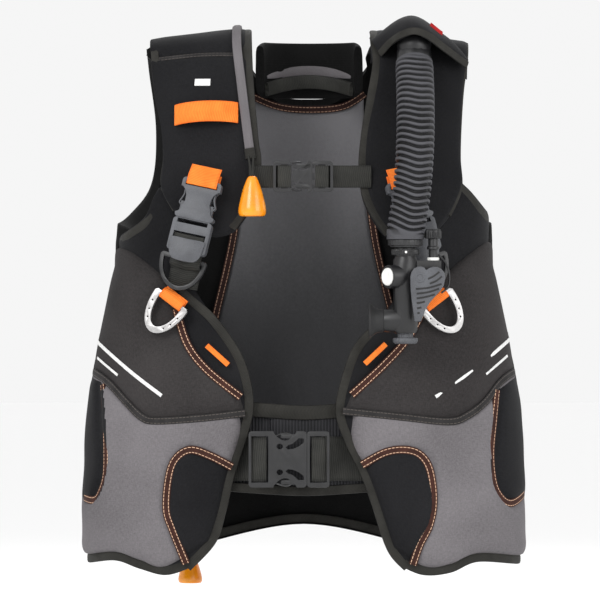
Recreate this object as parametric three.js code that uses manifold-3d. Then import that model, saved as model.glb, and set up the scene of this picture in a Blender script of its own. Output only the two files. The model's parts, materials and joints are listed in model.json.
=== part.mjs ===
// Buoyancy compensator vest, jacket style, in the shape it has when worn. Millimetres, +Z up.
// The wearer faces -Y, so +X is the wearer's left. The origin is on the shoulder line, midway
// between the shoulders. Cloth pieces are cut from shells around one torso, and a place on the
// vest is given in percent: x of HALF_WIDTH from the middle, w of HEIGHT above the hem.
import * as THREE from "three";
import { mergeVertices } from "three/addons/utils/BufferGeometryUtils.js";
import Module from "manifold-3d";

// ---------------------------------------------------------------- the torso that wears it
const HEIGHT = 600; // hem to the shoulder line
const HALF_WIDTH = 250; // middle to the side of the vest at the waist
const FRONT_DEPTH = 118; // shoulder line forward to the chest
const BACK_DEPTH = 104; // shoulder line back to the shoulder blades
const SIDE_INSET = 14; // the body's side in from HALF_WIDTH
const TAPER = 36; // each side narrower at the chest than at the hem
const TAPER_TOP = 0.6; // share of the height where the taper ends
const SHOULDER_DROP = 30; // outer end of the shoulder below the neck
const PLAN_POWER = 3; // squareness of the torso seen from above
const DOME_POWER = 3.5; // squareness of the shoulders seen from the side
const GAP = 0.3; // between pieces that lie on each other

// ---------------------------------------------------------------- layers, out from the torso
const LOBE_THICK = 10;
const BACK_THICK = 14;
const PAD_THICK = 9;
const POCKET_TOP_THICK = 5;
const POCKET_LOW_THICK = 8;
const YOKE_THICK = 6;
const BELT_THICK = 3.5;
const PLATE_AIR = 6; // between the back of the vest and the backplate, for the tank band
const PLATE_THICK = 6;
const LOBE = [0, LOBE_THICK];
const BACK = [0, BACK_THICK];
const PAD = [-PAD_THICK - GAP, -GAP];
const POCKET_TOP = [LOBE[1] + GAP, LOBE[1] + GAP + POCKET_TOP_THICK];
const POCKET_LOW = [LOBE[1] + GAP, LOBE[1] + GAP + POCKET_LOW_THICK];
const YOKE = [BACK[1] + GAP, BACK[1] + GAP + YOKE_THICK];
const PLATE = [BACK[1] + PLATE_AIR, BACK[1] + PLATE_AIR + PLATE_THICK];
const FAR = 500; // beyond every cloth piece

// ---------------------------------------------------------------- webbing and buckles
const WEB_THICK = 1.6;
const WAIST_WEB = 50;
const CHEST_WEB = 25;
const SHOULDER_WEB = 35;
const TANK_WEB = 50;

const wasm = await Module();
wasm.setup();

// A closed three.js geometry as a manifold-3d solid.
function solid(geometry) {
  const bare = geometry.clone();
  bare.deleteAttribute("normal");
  bare.deleteAttribute("uv");
  const merged = mergeVertices(bare, 1e-4);
  const kept = [];
  const index = merged.index.array;
  for (let i = 0; i < index.length; i += 3) {
    const [a, b, c] = [index[i], index[i + 1], index[i + 2]];
    if (a !== b && b !== c && c !== a) kept.push(a, b, c);
  }
  return new wasm.Manifold(
    new wasm.Mesh({
      numProp: 3,
      vertProperties: merged.attributes.position.array,
      triVerts: new Uint32Array(kept),
    }),
  );
}

function geometryOf(made) {
  const mesh = made.getMesh();
  return new THREE.BufferGeometry()
    .setAttribute("position", new THREE.BufferAttribute(mesh.vertProperties, 3))
    .setIndex(new THREE.BufferAttribute(mesh.triVerts, 1));
}

function piece(name, made, material) {
  const mesh = new THREE.Mesh(geometryOf(made), material);
  mesh.name = name;
  return mesh;
}

// ---------------------------------------------------------------- materials
const look = (color, roughness, metalness = 0) =>
  new THREE.MeshStandardMaterial({ color, roughness, metalness });
const blackCloth = look(0x1b1b1d, 0.9);
const darkCloth = look(0x3a3838, 0.9);
const greyCloth = look(0x807a7c, 0.85);
const padCloth = look(0x4c4c52, 0.7);
const blackWeb = look(0x222224, 0.8);
const orangeWeb = look(0xf26a1b, 0.7);
const greyPlastic = look(0x5a5b60, 0.5);
const darkPlastic = look(0x3c3c3e, 0.45);
const blackPlastic = look(0x161617, 0.4);
const whitePlastic = look(0xe8e8e6, 0.4);
const orangePlastic = look(0xf7941d, 0.3);
const steel = look(0xd8d9db, 0.3, 1);
const rubber = look(0x1a1a1a, 0.7);

// ---------------------------------------------------------------- the torso's surface
const signedPower = (value, power) => Math.sign(value) * Math.abs(value) ** power;
const drop = (x) => SHOULDER_DROP * (x / HALF_WIDTH) ** 2;
const dome = (t) => (1 - Math.min(1, Math.max(0, t)) ** DOME_POWER) ** (1 / DOME_POWER);
const up = (w) => (w / 100 - 1) * HEIGHT;
const out = (x) => (x / 100) * HALF_WIDTH;

function bodyHalfWidth(t) {
  const rise = Math.min(Math.max(t, 0), TAPER_TOP) / TAPER_TOP;
  return HALF_WIDTH - SIDE_INSET - TAPER * rise ** 3;
}

// The torso grown by offset, as a closed solid that runs down past the hem.
function torso(offset, below) {
  const RINGS = 10;
  const SPOKES = 28;
  const heights = [-below];
  for (let k = 0; k <= RINGS; k++) heights.push(Math.sin((k / RINGS) * (Math.PI / 2)));
  const points = [];
  for (const t of heights) {
    for (let k = 0; k < SPOKES; k++) {
      const turn = (k / SPOKES) * 2 * Math.PI;
      const x = (bodyHalfWidth(t) + offset) * signedPower(Math.cos(turn), 2 / PLAN_POWER);
      const depth = (2 * k < SPOKES ? BACK_DEPTH : FRONT_DEPTH) + offset;
      const y = depth * dome(t) * signedPower(Math.sin(turn), 2 / PLAN_POWER);
      points.push(x, y, t * (HEIGHT + offset) - HEIGHT - drop(x));
    }
  }
  const middle = points.length / 3;
  points.push(0, 0, -below * (HEIGHT + offset) - HEIGHT);
  const faces = [];
  for (let ring = 0; ring < heights.length - 1; ring++) {
    for (let k = 0; k < SPOKES; k++) {
      const a = ring * SPOKES + k;
      const b = ring * SPOKES + ((k + 1) % SPOKES);
      faces.push(a, b, b + SPOKES, a, b + SPOKES, a + SPOKES);
      if (ring === 0) faces.push(middle, b, a);
    }
  }
  const geometry = new THREE.BufferGeometry();
  geometry.setAttribute("position", new THREE.Float32BufferAttribute(points, 3));
  geometry.setIndex(faces);
  return solid(geometry);
}

// y of the torso grown by offset, at x and z. side is -1 on the chest and 1 on the back.
function skin(x, z, offset, side = -1) {
  const t = (z + HEIGHT + drop(x)) / (HEIGHT + offset);
  const across = Math.min(1, Math.abs(x) / (bodyHalfWidth(t) + offset));
  const depth = (side < 0 ? FRONT_DEPTH : BACK_DEPTH) + offset;
  return side * depth * dome(t) * (1 - across ** PLAN_POWER) ** (1 / PLAN_POWER);
}

// A frame on that surface: -Y points out of the vest, +Z up along it, then turned about its Y.
function seat(x, z, offset, turn = 0, side = -1) {
  const step = 2;
  const at = (dx, dz) => new THREE.Vector3(x + dx, skin(x + dx, z + dz, offset, side), z + dz);
  const rise = at(0, step).sub(at(0, -step)).normalize();
  const outward = at(-side * step, 0).sub(at(side * step, 0)).cross(rise).normalize();
  const inward = outward.negate();
  const basis = new THREE.Matrix4().makeBasis(inward.clone().cross(rise), inward, rise);
  const group = new THREE.Group();
  group.position.copy(at(0, 0));
  group.quaternion.setFromRotationMatrix(basis);
  group.rotateY(THREE.MathUtils.degToRad(turn));
  return group;
}

// ---------------------------------------------------------------- shape helpers
// A closed outline from stretches of [x, w] points. A stretch is one smooth curve, and the
// corners are between stretches. side -1 mirrors it to the wearer's right.
function outline(side, ...stretches) {
  const shape = new THREE.Shape();
  stretches.forEach((stretch, k) => {
    const points = stretch.map(([x, w]) => new THREE.Vector2(side * out(x), up(w)));
    if (k === 0) shape.moveTo(points[0].x, points[0].y);
    else shape.lineTo(points[0].x, points[0].y);
    if (points.length > 1) shape.splineThru(points.slice(1));
  });
  return shape;
}

// A shape drawn in the XZ plane as a solid from y = from to y = to.
function prism(shape, from, to, curveSegments = 3) {
  const options = { depth: to - from, bevelEnabled: false, curveSegments };
  return solid(new THREE.ExtrudeGeometry(shape, options).rotateX(Math.PI / 2).translate(0, to, 0));
}

function panel(shape, [inner, outer], from, to) {
  const shell = torso(outer, 0.1).subtract(torso(inner, 0.2));
  return shell.intersect(prism(shape, from, to));
}

function box(x0, x1, y0, y1, z0, z1) {
  const geometry = new THREE.BoxGeometry(x1 - x0, y1 - y0, z1 - z0);
  return solid(geometry.translate((x0 + x1) / 2, (y0 + y1) / 2, (z0 + z1) / 2));
}

// A cylinder or cone between two points.
function rod(a, b, radiusA, radiusB = radiusA, sides = 14) {
  const from = new THREE.Vector3(...a);
  const along = new THREE.Vector3(...b).sub(from);
  const geometry = new THREE.CylinderGeometry(radiusB, radiusA, along.length(), sides);
  geometry.translate(0, along.length() / 2, 0);
  const turn = new THREE.Quaternion().setFromUnitVectors(
    new THREE.Vector3(0, 1, 0),
    along.normalize(),
  );
  return solid(geometry.applyQuaternion(turn).translate(from.x, from.y, from.z));
}

function roundedRect(x0, x1, z0, z1, radius) {
  const shape = new THREE.Shape();
  shape.moveTo(x0 + radius, z0);
  shape.absarc(x1 - radius, z0 + radius, radius, -Math.PI / 2, 0);
  shape.absarc(x1 - radius, z1 - radius, radius, 0, Math.PI / 2);
  shape.absarc(x0 + radius, z1 - radius, radius, Math.PI / 2, Math.PI);
  shape.absarc(x0 + radius, z0 + radius, radius, Math.PI, (3 * Math.PI) / 2);
  return shape;
}

// A strap of the given thickness along a line of [x, y] points, width wide along Z.
function ribbon(points, width, thick = WEB_THICK) {
  const line = points.map(([x, y]) => new THREE.Vector2(x, y));
  const sides = [[], []];
  line.forEach((point, k) => {
    const before = point.clone().sub(line[Math.max(0, k - 1)]).normalize();
    const after = line[Math.min(line.length - 1, k + 1)].clone().sub(point).normalize();
    const along = before.clone().add(after).normalize();
    const normal = new THREE.Vector2(-along.y, along.x);
    const edge = k === 0 ? after : before;
    const miter = thick / 2 / Math.max(0.5, normal.dot(new THREE.Vector2(-edge.y, edge.x)));
    sides[0].push(point.clone().addScaledVector(normal, miter));
    sides[1].unshift(point.clone().addScaledVector(normal, -miter));
  });
  const shape = new THREE.Shape([...sides[0], ...sides[1]]);
  const options = { depth: width, bevelEnabled: false };
  return solid(new THREE.ExtrudeGeometry(shape, options).translate(0, 0, -width / 2));
}

// Turns a solid made by ribbon so that its x runs up Z and its width lies along X.
function upright(made) {
  return solid(geometryOf(made).rotateY(-Math.PI / 2));
}

const vest = new THREE.Group();
vest.name = "buoyancy_vest";
const SIDES = [
  { name: "right", side: -1 },
  { name: "left", side: 1 },
];

// ---------------------------------------------------------------- jacket
// Edges of the two front lobes, which hang a little differently: the opening edge runs down
// from the shoulder, and the hem runs out to the side.
const LOBE_EDGES = {
  right: {
    opening: [[50, 62], [55, 54.5], [40, 48], [29, 41.5], [24.4, 36], [23.4, 31], [26.2, 26],
      [32, 18.5], [35.6, 12], [40, 6.5], [51, 1.5]],
    hem: [[62, 0], [73.5, 1.1], [86, 2.6], [112, 1.2]],
    armhole: [[112, 59], [87.5, 61], [82, 63.8], [70, 67.5], [63, 73]],
  },
  left: {
    opening: [[50, 62], [48, 54.5], [37, 48.7], [23.5, 43], [17.3, 36.6], [14.8, 30.5], [19, 25],
      [25.5, 19.5], [30.5, 14], [37.6, 5.2], [45, 1.5]],
    hem: [[54, 0], [65.5, 0.4], [79, 2.4], [112, 1.2]],
    armhole: [[112, 61], [92, 62.5], [87, 66], [80, 69.3], [72, 73], [64, 75]],
  },
};
// Lower edge of the pocket's upper panel, from the opening to the side.
const FLAP_EDGE = {
  right: [[26.5, 29.8], [45, 28.9], [66, 28.3], [73, 29], [80, 31.8], [90, 36], [112, 41]],
  left: [[17.5, 30.2], [43, 29.1], [65, 28.2], [74, 29.4], [82, 32], [90, 36], [112, 41]],
};
// The pocket's mouth and top edge, from the opening to the side.
const POCKET_MOUTH = {
  right: [[112, 62.4], [86, 62.2], [70, 58], [61, 51.5], [54, 45], [44, 39.6], [29, 34.6]],
  left: [[112, 64], [88, 62.4], [68, 58.2], [57, 51.5], [47, 45.5], [36, 40.4], [22, 35]],
};
const SEAM = 0.25; // percent of the height between the two pocket panels
const OPENING_BIND = 2.6; // percent in from the lobe's edge, left for the binding
const HEM_BIND = 1.6;

for (const { name, side } of SIDES) {
  const edge = LOBE_EDGES[name];
  const lobe = outline(side, edge.opening, edge.hem, edge.armhole);
  vest.add(piece(`lobe_${name}`, panel(lobe, LOBE, -FAR, -GAP / 2), blackCloth));

  const flap = FLAP_EDGE[name];
  const upper = outline(side, flap, POCKET_MOUTH[name]);
  vest.add(piece(`pocket_upper_${name}`, panel(upper, POCKET_TOP, -FAR, -6), darkCloth));

  const below = flap.map(([x, w]) => [x, w - SEAM]).reverse();
  const lowOpening = edge.opening
    .filter(([, w]) => w > 4 && w < flap[0][1] - 1.5)
    .map(([x, w]) => [x + OPENING_BIND, w]);
  const lowHem = edge.hem.map(([x, w]) => [x, w + HEM_BIND]);
  const lower = outline(side, below, lowOpening, lowHem);
  vest.add(piece(`pocket_lower_${name}`, panel(lower, POCKET_LOW, -FAR, -6), greyCloth));
}

const BACK_HEM = [[-112, 2.5], [-62, 3.5], [0, 8.6], [62, 3.5], [112, 2.5]];
const BACK_ARMHOLE = [[112, 60], [89, 62.5], [79, 67], [70, 73], [68, 84], [71, 95], [72, 110]];
const NECK = [[31, 110], [29.5, 96.5], [16, 91], [2, 90], [-13, 91], [-25, 96.5], [-27, 110]];
const backShape = outline(
  1,
  BACK_HEM,
  BACK_ARMHOLE,
  NECK,
  BACK_ARMHOLE.map(([x, w]) => [-x, w]).reverse(),
);
vest.add(piece("back_panel", panel(backShape, BACK, GAP / 2, FAR), blackCloth));

const PAD_SIDE = [[42, 29], [44, 45], [38, 60], [31, 78], [24, 88]];
const padShape = outline(
  1,
  [[-42, 29], [0, 27.5], [42, 29]],
  PAD_SIDE,
  [[24, 88], [0, 86.5], [-24, 88]],
  PAD_SIDE.map(([x, w]) => [-x, w]).reverse(),
);
vest.add(piece("back_pad", panel(padShape, PAD, 10, FAR), padCloth));

// The collar stands behind the neck as a curved wall, with the grab handle across its inside.
const COLLAR_MIDDLE = 6;
const COLLAR_HALF = 60;
const COLLAR_DEPTH = 62;
const COLLAR_THICK = 7;
const COLLAR_LOW = 87.5;
const COLLAR_TOP = 100.6;
const HANDLE_THICK = 3;
const HANDLE_STAND_OFF = 9; // middle of the handle off the collar
const HANDLE_LOW = 91.6;
const HANDLE_TOP = 94.4;

function archWall(middle, half, depth, thick, start, from, to) {
  const shape = new THREE.Shape();
  shape.absellipse(middle, 0, half, depth, start, Math.PI - start, false);
  shape.absellipse(middle, 0, half - thick, depth - thick, Math.PI - start, start, true);
  const options = { depth: to - from, bevelEnabled: false, curveSegments: 12 };
  return solid(new THREE.ExtrudeGeometry(shape, options).translate(0, 0, from));
}
vest.add(
  piece(
    "collar",
    archWall(COLLAR_MIDDLE, COLLAR_HALF, COLLAR_DEPTH, COLLAR_THICK, 0.12, up(COLLAR_LOW),
      up(COLLAR_TOP)),
    blackCloth,
  ),
);
vest.add(
  piece(
    "carry_handle",
    archWall(COLLAR_MIDDLE, COLLAR_HALF - COLLAR_THICK - GAP,
      COLLAR_DEPTH - COLLAR_THICK - HANDLE_STAND_OFF, HANDLE_THICK, 0.3, up(HANDLE_LOW),
      up(HANDLE_TOP)),
    blackWeb,
  ),
);

// Shoulder panels lie on the lobes in front and run over the shoulder to the back.
const YOKE_BACK = 62; // how far each runs down behind the shoulder line
const YOKE_EDGES = {
  right: {
    inner: [[24.4, 112], [24.2, 101], [23.3, 92], [21.2, 82], [19.8, 77], [22, 71], [31, 65],
      [40, 63.6]],
    outer: [[50, 64.4], [59, 68.5], [64.2, 73], [63.3, 78], [64, 84], [66.8, 90], [69, 98],
      [69.5, 112]],
  },
  left: {
    inner: [[30.5, 112], [30.6, 101], [31.6, 96], [28.8, 89], [26, 81.5], [25.2, 76], [27.5, 70],
      [36.5, 64], [47, 62.6]],
    outer: [[58, 63.6], [66, 67.5], [71, 72.5], [70.4, 78], [70.8, 84], [72, 91], [74, 97],
      [74.5, 112]],
  },
};
for (const { name, side } of SIDES) {
  const edge = YOKE_EDGES[name];
  const shape = outline(side, edge.inner, edge.outer);
  const made = panel(shape, YOKE, -FAR, YOKE_BACK);
  vest.add(piece(`shoulder_panel_${name}`, made, blackCloth));
}

// Two elastic halves of the waist belt close over each other in front, inside the lobes.
const BELT_ROOM = 4.5; // inside the lobes, for the waist strap
const BELT_LEFT = [-BELT_ROOM - BELT_THICK, -BELT_ROOM];
const BELT_LAYER = { left: BELT_LEFT, right: BELT_LEFT.map((d) => d - BELT_THICK - GAP) };
const BELT_OVERLAP = 15;
for (const { name, side } of SIDES) {
  const top = [[-BELT_OVERLAP, 31], [0, 30], [BELT_OVERLAP, 31], [112, 33]];
  const low = [[112, 18], [BELT_OVERLAP, 15.9], [0, 15], [-BELT_OVERLAP, 15.9]];
  const shape = outline(side, top, low);
  vest.add(piece(`waist_belt_${name}`, panel(shape, BELT_LAYER[name], -FAR, -4), blackWeb));
}

// ---------------------------------------------------------------- side release buckles
// The strap runs along X and the outside faces -Y. The socket is at x < 0, and the tongue
// leaves it along +X. A ladder end has a bar that the strap is threaded over.
const RIM = 3;
const SLOT = 5.5;
const BAR = 8;
const BAR_THICK = 4;
const WALL = 2.2;
const PRONG_ROOM = 0.4;
const LADDER = RIM + SLOT + BAR + SLOT;

function ladderEnd(made, web, thick, end, inward) {
  const near = end + inward * RIM;
  const far = end + inward * LADDER;
  const open = box(Math.min(near, far), Math.max(near, far), -thick, thick, -web / 2 - 1,
    web / 2 + 1);
  const barStart = end + inward * (RIM + SLOT);
  const barEnd = barStart + inward * BAR;
  const bar = box(Math.min(barStart, barEnd), Math.max(barStart, barEnd), -BAR_THICK / 2,
    BAR_THICK / 2, -web / 2 - RIM, web / 2 + RIM);
  return made.subtract(open).add(bar);
}

function buckle({ web, thick, edge, socket, tongue, depth, ladder }) {
  const half = web / 2 + edge;
  let female = prism(roundedRect(-socket, 0, -half, half, 4), -thick / 2, thick / 2);
  const room = half - 3;
  female = female.subtract(box(-depth, 1, -thick / 2 + WALL, thick / 2 - WALL, -room, room));
  for (const side of [-1, 1]) {
    const z = side * (half + 1.5);
    female = female.subtract(rod([-depth * 0.6, -thick, z], [-depth * 0.6, thick, z], 7));
  }
  if (ladder) {
    female = ladderEnd(female, web, thick, -socket, 1);
  } else {
    const slot = box(-socket + RIM + 1, -socket + RIM + SLOT, -thick, thick, -web / 2 - 1,
      web / 2 + 1);
    female = female.subtract(slot);
  }
  const frame = roundedRect(GAP, tongue, -half, half, 4);
  let male = ladderEnd(prism(frame, -thick / 2, thick / 2), web, thick, tongue, -1);
  const tall = thick / 2 - WALL - PRONG_ROOM;
  const arm = 5;
  const reach = -depth + 1;
  for (const side of [-1, 1]) {
    const z = side * (room - PRONG_ROOM - arm / 2);
    male = male.add(box(reach, 2, -tall, tall, z - arm / 2, z + arm / 2));
  }
  male = male.add(box(reach * 0.6, 2, -tall, tall, -4, 4));
  return { female, male };
}

// Strap threaded over a ladder's bar and away behind the buckle: dive is how far it first
// drops inward, and far is where it goes then, in the buckle's frame.
function threaded(spec, end, inward, dive, far) {
  const back = spec.thick / 2 + GAP + WEB_THICK / 2;
  const front = -(BAR_THICK / 2 + GAP + WEB_THICK / 2);
  const first = end + inward * (RIM + SLOT / 2);
  const second = end + inward * (RIM + SLOT + BAR + SLOT / 2);
  const tail = spec.thick / 2 - 1;
  const points = [[second, tail], [second, front], [first, front], [first, back + dive]];
  return ribbon([...points, ...far(back)], spec.web);
}

const WAIST = {
  web: WAIST_WEB, thick: 13, edge: 6.5, socket: 65, tongue: 25.5, depth: 30, ladder: true,
};
const WAIST_W = 21.8;
const WAIST_PART = 3; // mm from the middle to the line where socket and tongue part
const WAIST_STRAP = -BELT_ROOM / 2; // offset of the strap, between the belt and the lobes
const WAIST_CLEAR = 1; // buckle in front of the pockets, so the tongue pulls out past them
const waist = new THREE.Group();
waist.position.set(
  WAIST_PART,
  skin(0, up(WAIST_W), POCKET_LOW[1]) - WAIST_CLEAR - WAIST.thick / 2,
  up(WAIST_W),
);
const waistDive =
  skin(0, up(WAIST_W), WAIST_STRAP) - waist.position.y - WAIST.thick / 2 - GAP - WEB_THICK / 2;
const waistParts = buckle(WAIST);
waist.add(piece("waist_buckle_socket", waistParts.female, darkPlastic));
waist.add(piece("waist_buckle_tongue", waistParts.male, darkPlastic));
// From the buckle each strap follows the body round under its lobe.
const STRAP_STOPS = [30, 40, 50, 60, 68];
function roundTheWaist(side) {
  return STRAP_STOPS.map((x) => {
    const at = side * out(x);
    return [at - waist.position.x, skin(at, up(WAIST_W), WAIST_STRAP) - waist.position.y];
  });
}
waist.add(
  piece("waist_strap_right",
    threaded(WAIST, -WAIST.socket, 1, waistDive, () => roundTheWaist(-1)), blackWeb),
);
waist.add(
  piece("waist_strap_left",
    threaded(WAIST, WAIST.tongue, -1, waistDive, () => roundTheWaist(1)), blackWeb),
);
vest.add(waist);

const CHEST = {
  web: CHEST_WEB, thick: 9, edge: 5, socket: 44, tongue: 23, depth: 19, ladder: true,
};
const CHEST_W = 74.6;
const CHEST_PART = 9.5;
const CHEST_SEWN = 12; // strap on the shoulder panel
const chest = new THREE.Group();
const chestBack = skin(out(30), up(CHEST_W), YOKE[1]) - 3;
chest.position.set(CHEST_PART, chestBack - WEB_THICK / 2 - GAP - CHEST.thick / 2, up(CHEST_W));
const chestParts = buckle(CHEST);
chest.add(piece("chest_buckle_socket", chestParts.female, darkPlastic));
chest.add(piece("chest_buckle_tongue", chestParts.male, darkPlastic));
const chestEnd = (x) => (back) => [[x - CHEST_PART, back]];
const chestRight = -out(20) - CHEST_SEWN;
const chestLeft = out(25.4) + CHEST_SEWN;
chest.add(
  piece("chest_strap_right", threaded(CHEST, -CHEST.socket, 1, 0, chestEnd(chestRight)),
    blackWeb),
);
chest.add(
  piece("chest_strap_left", threaded(CHEST, CHEST.tongue, -1, 0, chestEnd(chestLeft)),
    blackWeb),
);
vest.add(chest);

// ---------------------------------------------------------------- D rings
// The straight bar lies along X through the origin, and the bow hangs toward -Z.
const RING_BAR = 5;
function dRing({ width, fall, band, thick, holes }) {
  const shape = new THREE.Shape();
  shape.moveTo(-width / 2, 0);
  shape.lineTo(-width / 2 + RING_BAR / 2, RING_BAR / 2);
  shape.lineTo(width / 2 - RING_BAR / 2, RING_BAR / 2);
  shape.lineTo(width / 2, 0);
  shape.absellipse(0, 0, width / 2, fall, 0, -Math.PI, true);
  const inside = new THREE.Shape();
  inside.moveTo(-width / 2 + band, -RING_BAR / 2);
  inside.lineTo(width / 2 - band, -RING_BAR / 2);
  inside.absellipse(0, -RING_BAR / 2, width / 2 - band, fall - band - RING_BAR / 2, 0, -Math.PI,
    true);
  let made = prism(shape, -thick / 2, thick / 2, 14);
  made = made.subtract(prism(inside, -thick, thick, 14));
  for (const turn of holes) {
    const x = (width / 2 - band / 2) * Math.sin(turn);
    const z = -(fall - band / 2) * Math.cos(turn);
    made = made.subtract(rod([x, -thick, z], [x, thick, z], 1.1, 1.1, 6));
  }
  return made;
}

// Webbing folded round the bar, its tail going up the cloth behind.
function ringTab(width, tail, thick) {
  const r = 4.1;
  const loop = [];
  for (let k = 0; k <= 8; k++) {
    const turn = (k / 8) * Math.PI;
    loop.push([-r * Math.sin(turn), r * Math.cos(turn)]);
  }
  return upright(ribbon([[tail, r], ...loop, [tail * 0.45, -r * 0.8], [tail * 0.8, 0.6]], width,
    thick));
}

const STEEL_RING = {
  width: 46, fall: 42, band: 7.5, thick: 4, holes: [-1.25, -0.95, -0.65, 0.65, 0.95, 1.25],
};
const STEEL_TURN = 37;
const TAB_WIDTH = 30;
const TAB_TAIL = 10;
const TAB_OFFSET = POCKET_TOP[1] + 7.5;
const WEB_RING = { width: SHOULDER_WEB + 20, fall: 36, band: 4.6, thick: 4.6, holes: [] };
const WEB_RING_TURN = 17;
const WEB_RING_OFFSET = TAB_OFFSET + 2.7;
const SHOULDER_AT = [49.3, 66.4];
// Each ring hangs below the shoulder buckle, outward and down from it in mm.
const WEB_RING_AT = [out(SHOULDER_AT[0]) + 11.25, up(SHOULDER_AT[1]) - 43.2];
const STEEL_AT = [WEB_RING_AT[0] + 14, WEB_RING_AT[1] - 46.8];

for (const { name, side } of SIDES) {
  const spot = seat(side * STEEL_AT[0], STEEL_AT[1], TAB_OFFSET, -side * STEEL_TURN);
  spot.add(piece(`steel_ring_${name}`, dRing(STEEL_RING), steel));
  spot.add(piece(`steel_ring_tab_${name}`, ringTab(TAB_WIDTH, TAB_TAIL, 1.4), orangeWeb));
  vest.add(spot);

  const low = seat(side * WEB_RING_AT[0], WEB_RING_AT[1], WEB_RING_OFFSET,
    -side * WEB_RING_TURN);
  low.add(piece(`strap_ring_${name}`, dRing(WEB_RING), darkPlastic));
  vest.add(low);
}

// ---------------------------------------------------------------- shoulder straps
const SHOULDER = {
  web: SHOULDER_WEB, thick: 11, edge: 5, socket: 46, tongue: 38, depth: 20, ladder: false,
};
const SHOULDER_TURN = 13;
const STRAP_OVER_RING = 5.6; // middle of the strap out from the middle of the ring's bar
const TONGUE_OVER_STRAP = 1.2;
const SHOULDER_PITCH = 5; // the buckle lies on the shoulder above and over the ring below
const SHOULDER_OFFSET =
  WEB_RING_OFFSET + STRAP_OVER_RING + WEB_THICK / 2 + TONGUE_OVER_STRAP + SHOULDER.thick / 2 -
  SHOULDER.tongue * Math.sin(THREE.MathUtils.degToRad(SHOULDER_PITCH));
const STUB = 16;

for (const { name, side } of SIDES) {
  const turn = 90 - side * SHOULDER_TURN;
  const spot = seat(side * out(SHOULDER_AT[0]), up(SHOULDER_AT[1]), SHOULDER_OFFSET, turn);
  spot.rotateZ(-THREE.MathUtils.degToRad(SHOULDER_PITCH));
  const parts = buckle(SHOULDER);
  spot.add(piece(`shoulder_buckle_socket_${name}`, parts.female, greyPlastic));
  spot.add(piece(`shoulder_buckle_tongue_${name}`, parts.male, greyPlastic));

  const face = SHOULDER.thick / 2 + GAP + WEB_THICK / 2;
  const slot = -SHOULDER.socket + RIM + SLOT / 2 + 0.8;
  const top = -SHOULDER.socket;
  const stub = [[top - STUB * 0.6, face], [top - 3, face], [slot, face], [slot, -face],
    [top - 3, -face], [top - STUB, 0]];
  spot.add(piece(`shoulder_stub_${name}`, ribbon(stub, SHOULDER.web), orangeWeb));

  const strap = threaded(SHOULDER, SHOULDER.tongue, -1, 0, (back) => [
    [SHOULDER.tongue + 12.5, back],
    [SHOULDER.tongue + 16, back + 13],
    [SHOULDER.tongue + 36, back + 17],
  ]);
  spot.add(piece(`shoulder_strap_${name}`, strap, blackWeb));
  vest.add(spot);
}

// ---------------------------------------------------------------- utility loop
const LOOP_WEB = 24;
const LOOP_AT = [44, 86.4];
const LOOP_LENGTH = 72;
const LOOP_BULGE = 11;
const LOOP_SAG = 2.4; // how far the panel curves back at the loop's ends
const loopSpot = seat(-out(LOOP_AT[0]), up(LOOP_AT[1]), YOKE[1], 0);
const loopLine = [];
for (let k = 0; k <= 12; k++) {
  const s = k / 12;
  const lift = LOOP_BULGE * Math.sin(Math.PI * s) ** 0.7;
  const sag = LOOP_SAG * (2 * s - 1) ** 2;
  loopLine.push([(s - 0.5) * LOOP_LENGTH, sag - WEB_THICK - lift]);
}
loopSpot.add(piece("utility_loop", ribbon(loopLine, LOOP_WEB), orangeWeb));
vest.add(loopSpot);

// ---------------------------------------------------------------- dump valves
// Both valves face -Y in their own frames. The toggles are turned about Z and hang down.
const VALVE_RADIUS = 23;
const VALVE_TALL = 13;
function valve() {
  const profile = [[0, 0], [VALVE_RADIUS, 0], [VALVE_RADIUS, 3], [VALVE_RADIUS - 3, 4],
    [VALVE_RADIUS - 4, VALVE_TALL - 2], [VALVE_RADIUS - 7, VALVE_TALL], [0, VALVE_TALL]];
  const points = profile.map(([r, h]) => new THREE.Vector2(r, h));
  return solid(new THREE.LatheGeometry(points, 20).rotateX(Math.PI));
}

function toggle(radius, tall) {
  const profile = [[0, 0], [radius * 0.3, 0], [radius * 0.42, -tall * 0.12],
    [radius * 0.72, -tall * 0.45], [radius * 0.97, -tall * 0.78], [radius, -tall * 0.88],
    [radius * 0.88, -tall * 0.97], [0, -tall]];
  const points = profile.map(([r, z]) => new THREE.Vector2(r, z)).reverse();
  return solid(new THREE.LatheGeometry(points, 16).rotateX(Math.PI / 2));
}

const CORD = 1.3; // radius
const PULL_SLEEVE = [YOKE[1] + GAP, YOKE[1] + GAP + 4.5];
const sleeveShape = outline(
  -1,
  [[32.6, 112], [32.8, 100], [30.4, 92], [28.6, 86], [26, 79.4]],
  [[22.6, 79.4], [24.6, 86], [26.4, 92], [28.4, 100], [28.2, 112]],
);
vest.add(piece("pull_sleeve", panel(sleeveShape, PULL_SLEEVE, -FAR, YOKE_BACK), greyPlastic));

const SHOULDER_VALVE_AT = [32, 89];
const shoulderValve = seat(-out(SHOULDER_VALVE_AT[0]), up(SHOULDER_VALVE_AT[1]),
  BACK[1] + 3, 0, 1);
shoulderValve.add(piece("shoulder_dump_valve", valve(), blackPlastic));
vest.add(shoulderValve);

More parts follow.
